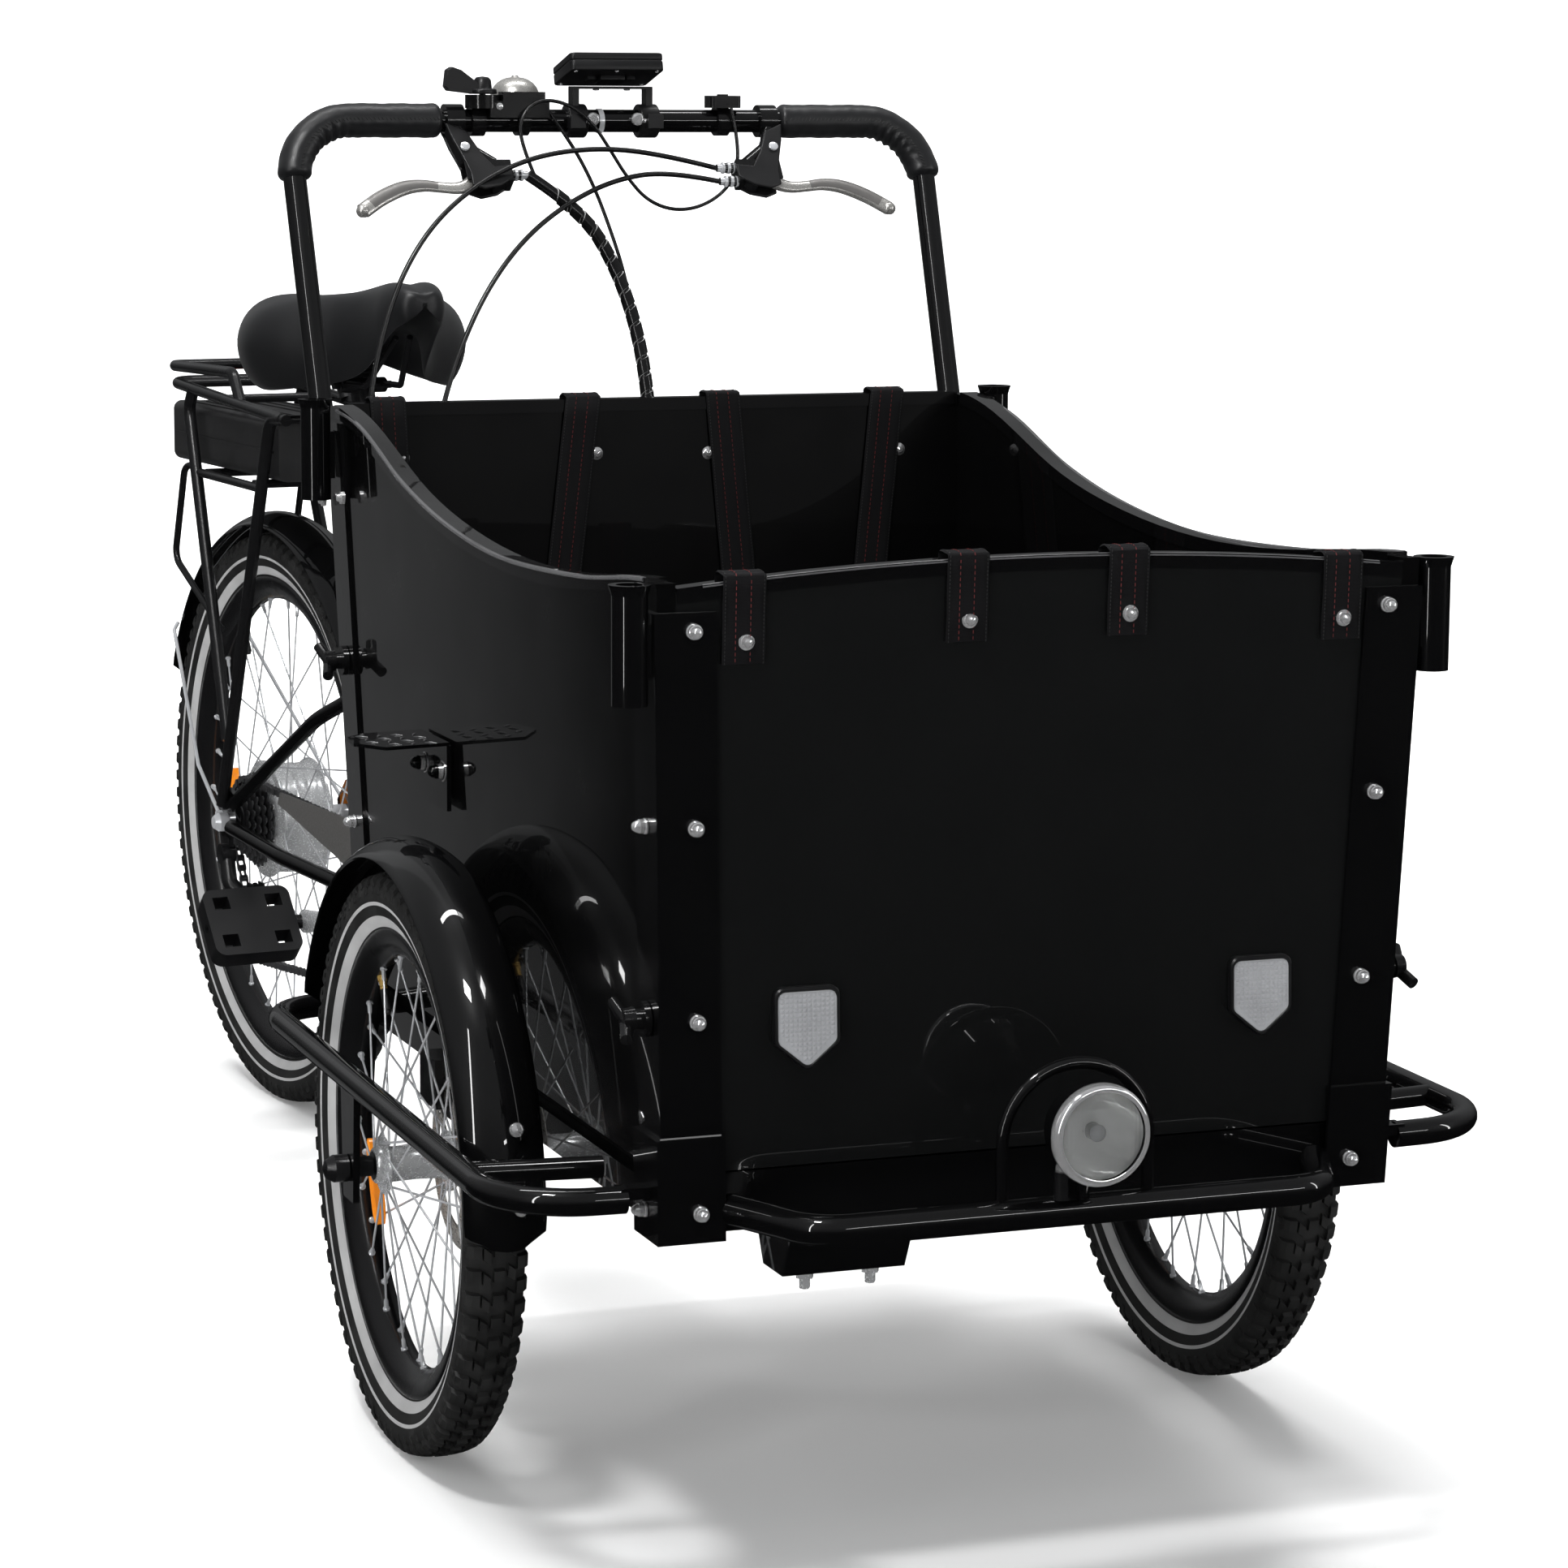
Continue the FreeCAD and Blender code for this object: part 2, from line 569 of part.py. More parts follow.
def control_clamps():
    """Brake brackets, the shifter with the bell's base beside it, and the keypad's base."""
    return [brake_bracket([0]), mirrored(brake_bracket([-8, 8])), fuse([shifter_base(), bell_base()]), keypad_base()]


def shifter_base():
    drum = Part.makeCylinder(17, 13, V(-134, BAR_Y - 9, BAR_Z + 12), V(0, 0, 1))
    window = block(-130, SHIFTER_END[0], 1064, 1084, BAR_Z + 3, BAR_Z + 19)
    hood = block(-117, SHIFTER_END[0] - 4, 1065, 1081, BAR_Z + 18, BAR_Z + 28)
    post = Part.makeCylinder(3, 21, V(-134, BAR_Y - 9, BAR_Z + 20), V(0, 0, 1))
    body = fuse([drum, window, hood, bar_clamp(-138, 14, 15)])
    return fuse([body.cut(rod((-170, BAR_Y, BAR_Z), (-60, BAR_Y, BAR_Z), BAR_R)), post])


SHIFTER_END = (-70.0, 1070.0, BAR_Z + 10)


def shifter_lever():
    """Broad thumb paddle that turns on the shifter's post."""
    cx, cy, z = -134.0, BAR_Y - 9, BAR_Z + 25.5
    ring = Part.makeCylinder(14, 5, V(cx, cy, z), V(0, 0, 1))
    outline = [(9, 0), (9, 4), (-4, 9), (-23, 23), (-32, 26), (-37, 23), (-39, 7), (-36, 3), (-10, 0)]
    pts = [V(cx + dx, cy - 7, z + dz) for dx, dz in outline]
    paddle = Part.Face(Part.makePolygon(pts + pts[:1])).extrude(V(0, 12, 0))
    return [fuse([ring, paddle]).cut(rod((cx, cy, z - 5), (cx, cy, z + 30), 3 + FIT))]


BELL_AT = (-92.0, BAR_Y + 20.0, BAR_Z + 22.0)


def bell_dome():
    x, y, z = BELL_AT
    shell = turned([(x, y, z + 20), (x + 12, y, z + 17.5), (x + 21, y, z + 10), (x + 24, y, z),
                    (x + 22.5, y, z), (x + 19.5, y, z + 9), (x + 11, y, z + 15.8), (x, y, z + 18)],
                   (x, y, z), (0, 0, 1))
    post = rod((x, y, z - 4), (x, y, z + 19), 3)
    return [fuse([shell, post])]


def bell_base():
    x, y, z = BELL_AT
    arm = block(x - 7, x + 7, BAR_Y, y + 8, z - 9, z - 4)
    arm = arm.cut(rod((x - 30, BAR_Y, BAR_Z), (x + 30, BAR_Y, BAR_Z), BAR_R))
    lever_post = rod((x + 12, y, z - 7), (x + 12, y, z - 1), 2)
    return fuse([bar_clamp(x, 12, 14.5), arm, lever_post, block(x, x + 15, y - 4, y + 4, z - 9, z - 6)])


def bell_lever():
    """Thumb lever of the bell, on its own small post under the dome."""
    x, y, z = BELL_AT
    eye = rod((x + 12, y, z - 5.7), (x + 12, y, z - 2), 4)
    arm = block(x + 11, x + 33, y + 0.5, y + 3.5, z - 5.5, z - 2.2)
    return [fuse([eye, arm]).cut(rod((x + 12, y, z - 8), (x + 12, y, z), 2 + FIT))]


DISPLAY_TILT = 15.0


def display_console():
    """Flat display, tilted towards the rider, on a bridge with two bar clamps."""
    case = block(-48, 48, -31, 31, -7.5, 7.5)
    case = case.makeFillet(3, [e for e in case.Edges if abs(e.tangentAt(e.FirstParameter).z) > 0.9])
    case.rotate(V(0, 0, 0), V(1, 0, 0), -DISPLAY_TILT)
    case.translate(V(0, BAR_Y + 7, BAR_Z + 49))
    bridge = block(-41, 41, BAR_Y - 8, BAR_Y + 8, BAR_Z + 31, BAR_Z + 34)
    stem = block(-14, 14, BAR_Y - 8, BAR_Y + 8, BAR_Z + 33, BAR_Z + 46)
    clamps = []
    for s in (-1, 1):
        clamps += [bar_clamp(s * 37, 20, 16.5), block(s * 39 - 2, s * 39 + 2, BAR_Y - 7, BAR_Y + 7, BAR_Z + 13, BAR_Z + 33)]
        screw = rod((s * 22, BAR_Y - 18, BAR_Z + 2), (s * 22, BAR_Y - 2, BAR_Z + 2), 6.5)
        clamps.append(screw.cut(rod((-60, BAR_Y, BAR_Z), (60, BAR_Y, BAR_Z), BAR_R)))
        clamps.append(block(s * 24 - 5, s * 24 + 5, BAR_Y - 16, BAR_Y - 12, BAR_Z - 5, BAR_Z + 8))
    return [fuse([case, bridge, stem] + clamps)]


def keypad_base():
    pad = block(99, 131, BAR_Y - 18, BAR_Y + 6, BAR_Z + 13, BAR_Z + 25)
    pad = pad.makeFillet(4, [e for e in pad.Edges if abs(e.tangentAt(e.FirstParameter).z) > 0.9])
    body = fuse([pad, bar_clamp(115, 13, 14.5)])
    return body.cut(rod((115, BAR_Y - 6, BAR_Z + 20), (115, BAR_Y - 6, BAR_Z + 30), 6.0))


def keypad_button():
    return [rod((115, BAR_Y - 6, BAR_Z + 22), (115, BAR_Y - 6, BAR_Z + 26.5), 5.6)]


def cables():
    """Route points and radius of each cable; all are held at both ends."""
    upper = [adjuster_end(8, -1), (40, 1044, 1110), (-28, 1038, 1117), (-94, 1035, 1109), (-148, 1031, 1086),
             (-196, 1023, 1050), (-232, 1010, 1004), (-257, 997, 950), (-274, 985, 888), (-281, 977, 820),
             (-277, 972, 748), (-270, 969, 676), (-263, 967, 604), (-258, 965, 532), (-255, 960, 460),
             (-252, 950, 394), (-250, 932, 346), (-250, 902, 318)]
    lower = [adjuster_end(-8, -1), (44, 1040, 1094), (-12, 1038, 1086), (-64, 1034, 1062), (-110, 1026, 1028),
             (-150, 1012, 982), (-182, 997, 926), (-206, 984, 864), (-220, 974, 798), (-226, 969, 728),
             (-226, 966, 656), (-223, 965, 584), (-219, 963, 512), (-215, 958, 444), (-212, 948, 384),
             (-210, 930, 340), (-210, 902, 318)]
    loom = [adjuster_end(0, 1), (-44, 1042, 1056), (-14, 1028, 1002), (2, 1008, 940), (6, 986, 872), (5, 973, 800),
            (2, 967, 726), (-2, 965, 652), (-5, 966, 578), (-8, 966, 504), (-9, 960, 430), (-10, 944, 366),
            (-10, 902, 321)]
    keypad = [(120, 1070, BAR_Z + 13), (129, 1066, 1114), (119, 1064, 1080), (92, 1062, 1060), (60, 1061, 1054),
              (30, 1061, 1064), (8, 1061, 1088), (-10, 1061, 1116), (-28, 1061, 1142), (-54, 1062, 1160),
              (-82, 1062, 1163), (-101, 1059, 1147), (-103, 1055, 1122), (-90, 1046, 1087)]
    shifter = [SHIFTER_END, (-48, 1066, 1122), (-28, 1059, 1083), (-14, 1048, 1040), (-4, 1030, 994), (-2, 1016, 962)]
    return {"brake_cable_upper": (upper, CABLE_R), "brake_cable_lower": (lower, CABLE_R),
            "control_loom": (loom, LOOM_R), "keypad_cable": (keypad, WIRE_R), "shifter_cable": (shifter, WIRE_R)}


# ---------------------------------------------------------------- wheels
def tyre(cx, cy, r, bead):
    h = TYRE_W / 2
    a, b = V(cx - h, cy, r + r - h), V(cx + h, cy, r + r - h)
    bl, br = V(cx - 17, cy, r + bead), V(cx + 17, cy, r + bead)
    edges = [Part.LineSegment(bl, a).toShape(), Part.Arc(a, V(cx, cy, r + r), b).toShape(),
             Part.LineSegment(b, br).toShape(), Part.LineSegment(br, bl).toShape()]
    return [Part.Face(Part.Wire(edges)).revolve(V(cx, cy, r), V(1, 0, 0), 360)]


def rim(cx, cy, r, bead):
    return [lathe([(-16, bead), (16, bead), (14, bead - 14), (6, bead - 25), (-6, bead - 25), (-14, bead - 14)],
                  (cx, cy, r))]


def spokes(cx, cy, r, bead, flange_r, flange_x, count):
    """Crossed spokes from two flanges to the rim; neighbours lie on opposite faces of a flange."""
    out = []
    for k in range(count):
        side = 1 if k % 2 else -1
        face = 2.6 if (k // 2) % 2 else -2.6
        rim_a = 2 * math.pi * k / count
        lead = 0.95 if (k // 2) % 2 else -0.95
        hub_a = rim_a + lead
        start = V(cx + side * flange_x + face, cy + flange_r * math.cos(hub_a), r + flange_r * math.sin(hub_a))
        end_r = bead - 24
        end = V(cx + side * 2.5, cy + end_r * math.cos(rim_a), r + end_r * math.sin(rim_a))
        out.append(Part.makeCylinder(1.0, (end - start).Length, start, end - start))
    return out


def front_hub(cx, inner):
    """Hub shell with two flanges, its two bearings, and the brake disc on the inner side."""
    c = (cx, FRONT_AXLE_Y, FRONT_R)
    shell = lathe([(-38, 11), (-38, 16), (-32, 16), (-30, 24), (-27, 24), (-25, 15), (25, 15), (27, 24), (30, 24),
                   (32, 16), (38, 16), (38, 11), (30, 11), (30, 8), (-30, 8), (-30, 11)], c)
    bearings = [lathe([(s * 30.1, AXLE_R + FIT), (s * 30.1, 11), (s * 37.9, 11), (s * 37.9, AXLE_R + FIT)], c)
                for s in (-1, 1)]
    x = cx + inner * 38
    disc = lathe([(0, 12), (0, 80), (inner * 1.8, 80), (inner * 1.8, 12)], (x, FRONT_AXLE_Y, FRONT_R))
    holes = []
    for k in range(6):
        a = 2 * math.pi * k / 6
        holes.append(rod((x - 5, c[1] + 42 * math.cos(a), c[2] + 42 * math.sin(a)),
                         (x + 5, c[1] + 42 * math.cos(a), c[2] + 42 * math.sin(a)), 17))
    return [shell, disc.cut(Part.makeCompound(holes))] + bearings


def rear_hub():
    """Geared motor's shell with spoke flanges, turning on the fixed axle."""
    c = (0, REAR_AXLE_Y, REAR_R)
    shell = lathe([(-36, 10), (-36, 30), (-33, 58), (-30, 68), (-26, 68), (-23, 63), (23, 63), (26, 68), (30, 68),
                   (33, 58), (40, 30), (40, 10), (32, 10), (32, 20), (-28, 20), (-28, 10)], c)
    bearings = [lathe([(o, 7 + FIT), (o, 10), (o + 7.8, 10), (o + 7.8, 7 + FIT)], c) for o in (-36, 32.2)]
    return [shell] + bearings


def cassette():
    """Stepped sprockets on a freewheel, next to the motor on the drive side."""
    c = (0, REAR_AXLE_Y, REAR_R)
    rings = [(-37, 7 + FIT), (-37, 20)]
    for k, r in enumerate((54, 49, 44, 39, 34)):
        x = -39 - 5 * k
        rings += [(x, 20), (x, r), (x - 2, r), (x - 2, 20)]
    rings += [(-64, 20), (-64, 7 + FIT)]
    return [lathe(rings, c)]


# ---------------------------------------------------------------- rear unit, drawn straight
def seat_axis(t):
    a = math.radians(SEAT_ANGLE)
    return (0.0, BB_Y + t * math.cos(a), BB_Z + t * math.sin(a))


SEAT_TUBE_L = 500.0
POST_R = 13.5


def rear_frame():
    beam = tube([(0, PIVOT_Y, 188), (0, 1080, 192), (0, BB_Y - 20, BB_Z - 6)], 24, 260)
    foot = rod((0, PIVOT_Y, 160), (0, PIVOT_Y, 213), 34)
    pin = rod((0, PIVOT_Y, 200), (0, PIVOT_Y, RAIL_Z1 - 2), PIVOT_R)
    shell = rod((-36, BB_Y, BB_Z), (36, BB_Y, BB_Z), 22)
    seat = rod((0, BB_Y, BB_Z), seat_axis(SEAT_TUBE_L), 17.5)
    brace = tube([(0, 1120, 200), (0, 1360, 330), seat_axis(210)], 16, 120)
    stays = []
    for s in (-1, 1):
        stays.append(tube([(s * 22, BB_Y + 6, BB_Z), (s * 40, 1540, 300), (s * 70, 1720, 316), (s * 77, 1862, 328)], 9, 90))
        stays.append(tube([(s * 75, 1866, 352), (s * 66, 1610, 486), (s * 14, seat_axis(265)[1] + 4, seat_axis(265)[2])], 8, 70))
        plate = [(1850, 318), (1900, 312), (1908, 345), (1880, 372), (1852, 366)]
        stays.append(prism_x(plate, s * DROP_X - 3, s * DROP_X + 3))
    body = fuse([beam, foot, pin, shell, seat, brace] + stays)
    body = body.cut(rod((-60, BB_Y, BB_Z), (60, BB_Y, BB_Z), 8 + FIT))
    body = body.cut(rod(seat_axis(120), seat_axis(SEAT_TUBE_L + 10), POST_R + FIT))
    return [body.cut(rod((-90, REAR_AXLE_Y, REAR_R), (90, REAR_AXLE_Y, REAR_R), 7)), seat_clamp()]


def seat_clamp():
    collar = rod(seat_axis(SEAT_TUBE_L), seat_axis(SEAT_TUBE_L + 20), 20)
    collar = collar.cut(rod(seat_axis(SEAT_TUBE_L - 5), seat_axis(SEAT_TUBE_L + 25), POST_R + FIT))
    y, z = seat_axis(SEAT_TUBE_L + 10)[1:]
    bolt = rod((-18, y + 22, z), (18, y + 22, z), 3)
    ears = block(-9, 9, y + 15, y + 27, z - 6, z + 6).cut(rod(seat_axis(0), seat_axis(600), POST_R + 1))
    return fuse([collar, ears, bolt])


def seat_post():
    """Post, clamp head, saddle rails and the pair of springs under the saddle's rear."""
    top = seat_axis(592)
    y, z = top[1], top[2]
    parts = [rod(seat_axis(400), top, POST_R), block(-26, 26, y - 16, y + 16, z - 6, z + 12)]
    for s in (-1, 1):
        parts.append(tube([(s * 8, 1512, 908), (s * 20, 1570, z + 6), (s * 22, 1676, z + 4), (s * 30, 1712, z + 4)], 3.5, 14))
        parts.append(rod((s * 30, 1712, z), (s * 30, 1712, SADDLE_Z - 3.2), 15))
    return [fuse(parts)]


def saddle_cover():
    """Plain closed body of the wide padded saddle, with the channel that its rails lie in."""
    pts = [(30, 1482), (34, 1552), (72, 1606), (122, 1650), (132, 1700), (112, 1742), (40, 1752)]
    curve = Part.BSplineCurve()
    loop = [V(x, y, 840) for x, y in pts] + [V(-x, y, 840) for x, y in reversed(pts)] + [V(-18, 1460, 840), V(18, 1460, 840)]
    curve.interpolate(loop, PeriodicFlag=True)
    outline = Part.Face(Part.Wire(curve.toShape())).extrude(V(0, 0, 140))
    profile = [(1446, 934), (1462, 960), (1490, 966), (1590, 951), (1700, 949), (1745, 936), (1758, 900),
               (1752, 858), (1690, 846), (1610, 850), (1540, 868), (1478, 912)]
    body = outline.common(prism_x(profile, -200, 200))
    channel = fuse([block(-49, 49, 1556, 1800, 800, SADDLE_Z - 3), block(-24, 24, 1496, 1560, 800, SADDLE_Z + 27)])
    return [body.cut(channel)]


def rear_rack():
    """Tubular carrier: side rails, raised loop, two legs a side, battery rails and pannier guards."""
    x, z = RACK_X, 826.0
    parts = []
    rail = tube([(-x, 1690, 808), (-x, 2076, z + 2), (x, 2076, z + 2), (x, 1690, 808)], 6.5, 26)
    loop = tube([(-x + 4, 1850, z - 8), (-x + 4, 1874, z + 24), (-x + 4, 2088, z + 20), (x - 4, 2088, z + 20),
                 (x - 4, 1874, z + 24), (x - 4, 1850, z - 8)], 6.5, 16)
    parts += [rail, loop]
    for s in (-1, 1):
        parts.append(tube([(s * x, 1700, 809), (s * x, 1742, 806), (s * 82, 1879, 352)], 7, 24))
        parts.append(tube([(s * x, 2000, z - 2), (s * x, 2016, 800), (s * 80, 1862, 430)], 7, 20))
        parts.append(tube([(s * x, 1776, 726), (s * x, 1990, 728), (s * x, 2004, 772)], 5, 14))
        parts.append(tube([(s * x, 1984, 728), (s * (x + 6), 2014, 740), (s * (x + 6), 2056, 622), (s * x, 1912, 552)], 4, 18))
    for y in (1700, 1900, 2060):
        parts.append(rod((-x, y, 808 + (y - 1690) * 0.049), (x, y, 808 + (y - 1690) * 0.049), 5))
    for y in (1800, 1960):
        parts.append(rod((-x, y, 729), (x, y, 729), 5))
    return [fuse(parts)]


def battery():
    """Rack battery: a flat case that slides out to the rear, with a handle recess at its end."""
    w, y0, y1, z0, z1 = BATTERY
    case = block(-w, w, y0, y1, z0, z1)
    case = case.makeFillet(10, [e for e in case.Edges if abs(e.tangentAt(e.FirstParameter).y) > 0.9])
    return [case.cut(block(-30, 30, y1 - 12, y1 + 5, z1 - 16, z1 + 5))]


def tail_light():
    w, y1 = 42.0, BATTERY[2]
    body = block(-w, w, y1, y1 + 12, 758, 795)
    return [body.makeFillet(4, [e for e in body.Edges if abs(e.tangentAt(e.FirstParameter).y) > 0.9])]


def rear_fender():
    """Curved sheet over the rear wheel and its wire stays."""
    crown, edge, t, w = 356.0, 342.0, 2.0, 33.0
    outer = Part.Arc(V(-w, 0, edge), V(0, 0, crown), V(w, 0, edge)).toShape()
    inner = Part.Arc(V(-w + 2, 0, edge - t), V(0, 0, crown - t), V(w - 2, 0, edge - t)).toShape()
    ends = [Part.LineSegment(V(-w, 0, edge), V(-w + 2, 0, edge - t)).toShape(),
            Part.LineSegment(V(w, 0, edge), V(w - 2, 0, edge - t)).toShape()]
    face = Part.Face(Part.Wire(Part.__sortEdges__([outer, inner] + ends)))
    span = REAR_FENDER_END - REAR_FENDER_START
    sheet = face.revolve(V(0, 0, 0), V(1, 0, 0), span)
    sheet.rotate(V(0, 0, 0), V(1, 0, 0), REAR_FENDER_START - 90)
    sheet.translate(V(0, REAR_AXLE_Y, REAR_R))
    return [sheet] + fender_stays()


REAR_FENDER_START, REAR_FENDER_END = 23.0, 156.0


def fender_stays():
    """Silver wire stays from the dropouts to the rear fender's edges."""
    out = []
    for s in (-1, 1):
        out.append(tube([(s * 78.4, 1900, 338), (s * 74, 1984, 384), (s * 44, 2152, 524), (s * 36.5, 2160, 531)], 2.2, 8))
    return out


def rear_axle():
    c = (0, REAR_AXLE_Y, REAR_R)
    axle = rod((-90, c[1], c[2]), (90, c[1], c[2]), 7)
    nuts = [lathe([(s * 76, 0), (s * 76, 11), (s * 86, 11), (s * 92, 7), (s * 92, 0)], c) for s in (-1, 1)]
    sleeve = lathe([(41, 6), (41, 11), (70, 11), (70, 6)], c)
    return [fuse([axle, sleeve] + nuts)]


def crankset():
    """Spindle, two arms with their pedal spindles, and the chainring on the right arm."""
    a = math.radians(CRANK_DEG)
    ey, ez = CRANK * math.cos(a), CRANK * math.sin(a)
    spindle = rod((-92, BB_Y, BB_Z), (92, BB_Y, BB_Z), 8)
    parts = [spindle]
    for s, side in ((-1, 1), (1, -1)):
        hub = rod((s * 78, BB_Y, BB_Z), (s * 94, BB_Y, BB_Z), 17)
        end = (BB_Y + side * ey, BB_Z + side * ez)
        arm = Part.makeBox(11, CRANK, 22, V(s * 86 - 5.5, 0, -11))
        arm.rotate(V(0, 0, 0), V(1, 0, 0), math.degrees(math.atan2(side * ez, side * ey)))
        arm.translate(V(0, BB_Y, BB_Z))
        parts += [hub, arm, rod((s * 78, end[0], end[1]), (s * 94, end[0], end[1]), 13),
                  rod((s * 94, end[0], end[1]), (s * 190, end[0], end[1]), 5)]
    ring = lathe([(CHAIN_X - 1.5, 0), (CHAIN_X - 1.5, 80), (CHAIN_X + 1.5, 80), (CHAIN_X + 1.5, 0)], (0, BB_Y, BB_Z))
    for k in range(5):
        t = 2 * math.pi * k / 5
        y, z = BB_Y + 41 * math.cos(t), BB_Z + 41 * math.sin(t)
        ring = ring.cut(rod((CHAIN_X - 5, y, z), (CHAIN_X + 5, y, z), 19))
    return [fuse(parts + [ring, rod((-80, BB_Y, BB_Z), (CHAIN_X, BB_Y, BB_Z), 16)])]


PEDAL_TILT = 42.0


def pedal(s):
    """Platform pedal with two finger holes beside the spindle's barrel."""
    a = math.radians(CRANK_DEG)
    y, z = BB_Y - s * CRANK * math.cos(a), BB_Z - s * CRANK * math.sin(a)
    body = block(-50, 50, -42, 42, -12, 12)
    body = body.makeFillet(12, [e for e in body.Edges if abs(e.tangentAt(e.FirstParameter).z) > 0.9])
    for cx in (-30, 30):
        for cy in (-24, 24):
            body = body.cut(block(cx - 9, cx + 9, cy - 8, cy + 8, -20, 20))
    body = body.cut(rod((-60, 0, 0), (60, 0, 0), 5 + FIT))
    body.rotate(V(0, 0, 0), V(1, 0, 0), 90 - PEDAL_TILT)
    body.translate(V(s * 150, y, z))
    return [body]


def chain():
    """Closed chain as a plain loop: chainring, cassette, and the derailleur's two pulleys."""
    ring, sprocket = (BB_Y, BB_Z, 80.8), (REAR_AXLE_Y, REAR_R, 44.8)
    tension = (1840.0, 196.0, 19.0)
    outer = Part.Face(belt([(y, z, r + 7) for y, z, r in (ring, sprocket, tension)]))
    inner = Part.Face(belt([ring, sprocket, tension]))
    loop = outer.extrude(V(7, 0, 0)).cut(inner.extrude(V(7, 0, 0)))
    loop.translate(V(CHAIN_X - 3.5, 0, 0))
    return [loop]


def belt(circles):
    """Closed outline round circles (y, z, r), taken in order, in the plane x = 0."""
    touch = []
    n = len(circles)
    for i in range(n):
        (y0, z0, r0), (y1, z1, r1) = circles[i], circles[(i + 1) % n]
        d = math.hypot(y1 - y0, z1 - z0)
        t = math.atan2(z1 - z0, y1 - y0) + math.acos((r0 - r1) / d)
        touch.append((V(0, y0 + r0 * math.cos(t), z0 + r0 * math.sin(t)), V(0, y1 + r1 * math.cos(t), z1 + r1 * math.sin(t)), t))
    edges = []
    for i in range(n):
        a, b, t = touch[i]
        edges.append(Part.LineSegment(a, b).toShape())
        y, z, r = circles[(i + 1) % n]
        t2 = touch[(i + 1) % n][2]
        while t2 > t:
            t2 -= 2 * math.pi
        m = (t + t2) / 2
        edges.append(Part.Arc(b, V(0, y + r * math.cos(m), z + r * math.sin(m)), touch[(i + 1) % n][0]).toShape())
    return Part.Wire(edges)


def chain_guard():
    """Flat black guard along the chain's upper run, outside the chain."""
    plate = prism_x([(BB_Y - 92, BB_Z + 10), (BB_Y - 70, BB_Z + 78), (BB_Y, BB_Z + 98), (1736, 386), (1744, 372),
                     (1560, 340), (BB_Y + 20, 316)], -64, -62)
    return [plate.cut(rod((-90, BB_Y, BB_Z), (-50, BB_Y, BB_Z), 24))]


def derailleur():
    """Hanger, body and cage with two pulleys below the rear axle."""
    knuckle = rod((-84, 1884, 294), (-68, 1884, 294), 12)
    hanger = block(-76, -70, 1876, 1892, 290, 314)
    body = tube([(-76, 1884, 294), (-78, 1868, 262), (-66, 1858, 248)], 9, 10)
    cage = [prism_x([(1850, 262), (1868, 262), (1852, 182), (1828, 182)], x, x + 2) for x in (CHAIN_X - 8, CHAIN_X + 6)]
    axles = [rod((CHAIN_X - 8, y, z), (CHAIN_X + 8, y, z), 3) for y, z in ((1859, 252), (1840, 196))]
    wheels = [rod((CHAIN_X - 1.2, y, z), (CHAIN_X + 1.2, y, z), r) for y, z, r in ((1840, 196, 18.5), (1859, 250, 12))]
    return [fuse([knuckle, hanger, body] + cage + axles + wheels)]


# ---------------------------------------------------------------- writing the nodes
def save(name, solids, rear=False):
    """Writes one node: rear-unit shapes are swung about the pivot, all move to the row's origin."""
    out = []
    for shape in solids:
        for solid in shape.Solids:
            s = solid.copy()
            if rear:
                s.rotate(V(0, PIVOT_Y, 0), V(0, 0, 1), STEER_DEG)
            s.translate(V(0, -ORIGIN_Y, 0))
            if not s.isValid():
                print("invalid solid in", name)
            out.append(s)
    shape = out[0] if len(out) == 1 else Part.makeCompound(out)
    shape.exportStep("parts/" + name + ".step")
    b = shape.optimalBoundingBox(False)
    print("%-20s %3d solids  x %.0f %.0f  y %.0f %.0f  z %.0f %.0f" % (
        name, len(out), b.XMin, b.XMax, b.YMin + ORIGIN_Y, b.YMax + ORIGIN_Y, b.ZMin, b.ZMax))


def save_wheel(side, cx):
    inner = -1 if cx > 0 else 1
    args = (cx, FRONT_AXLE_Y, FRONT_R, FRONT_BEAD_R)
    save("tyre_" + side, tyre(*args))
    save("rim_" + side, rim(*args))
    save("spokes_" + side, spokes(*args, 21.0, 28.5, 36))
    save("hub_" + side, front_hub(cx, inner))


def main():
    os.makedirs("parts", exist_ok=True)
    for make in (chassis_frame, corner_angles, front_panel, rear_panel, side_panels, floor_and_benches,
                 harness_straps, panel_fasteners, wing_knobs, front_reflectors, bumpers, headlamp_shell,
                 headlamp_lens, pole_sockets, side_step, handlebar, grips, control_clamps, shifter_lever,
                 bell_dome, bell_lever, display_console, keypad_button, front_fenders, front_axles, brake_calipers):
        save(make.__name__, make())
    left = lever_frame(brake_lever())
    save("brake_lever_right", [left])
    save("brake_lever_left", [mirrored(left)])
    for name, (points, radius) in cables().items():
        save(name, [cord(name, points, radius)])
    save_wheel("left", WHEEL_X)
    save_wheel("right", -WHEEL_X)
    for make in (rear_frame, rear_rack, rear_fender, rear_axle, chain, chain_guard, derailleur, battery,
                 tail_light, seat_post, saddle_cover, crankset, cassette):
        save(make.__name__, make(), rear=True)
    save("pedal_right", pedal(-1), rear=True)
    save("pedal_left", pedal(1), rear=True)
    rear = (0.0, REAR_AXLE_Y, REAR_R, REAR_BEAD_R)
    save("tyre_rear", tyre(*rear), rear=True)
    save("rim_rear", rim(*rear), rear=True)
    save("spokes_rear", spokes(*rear, 66.0, 28.0, 36), rear=True)
    save("motor_hub", rear_hub(), rear=True)


main()
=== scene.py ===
import math
import bmesh
import bpy
from mathutils import Matrix, Vector

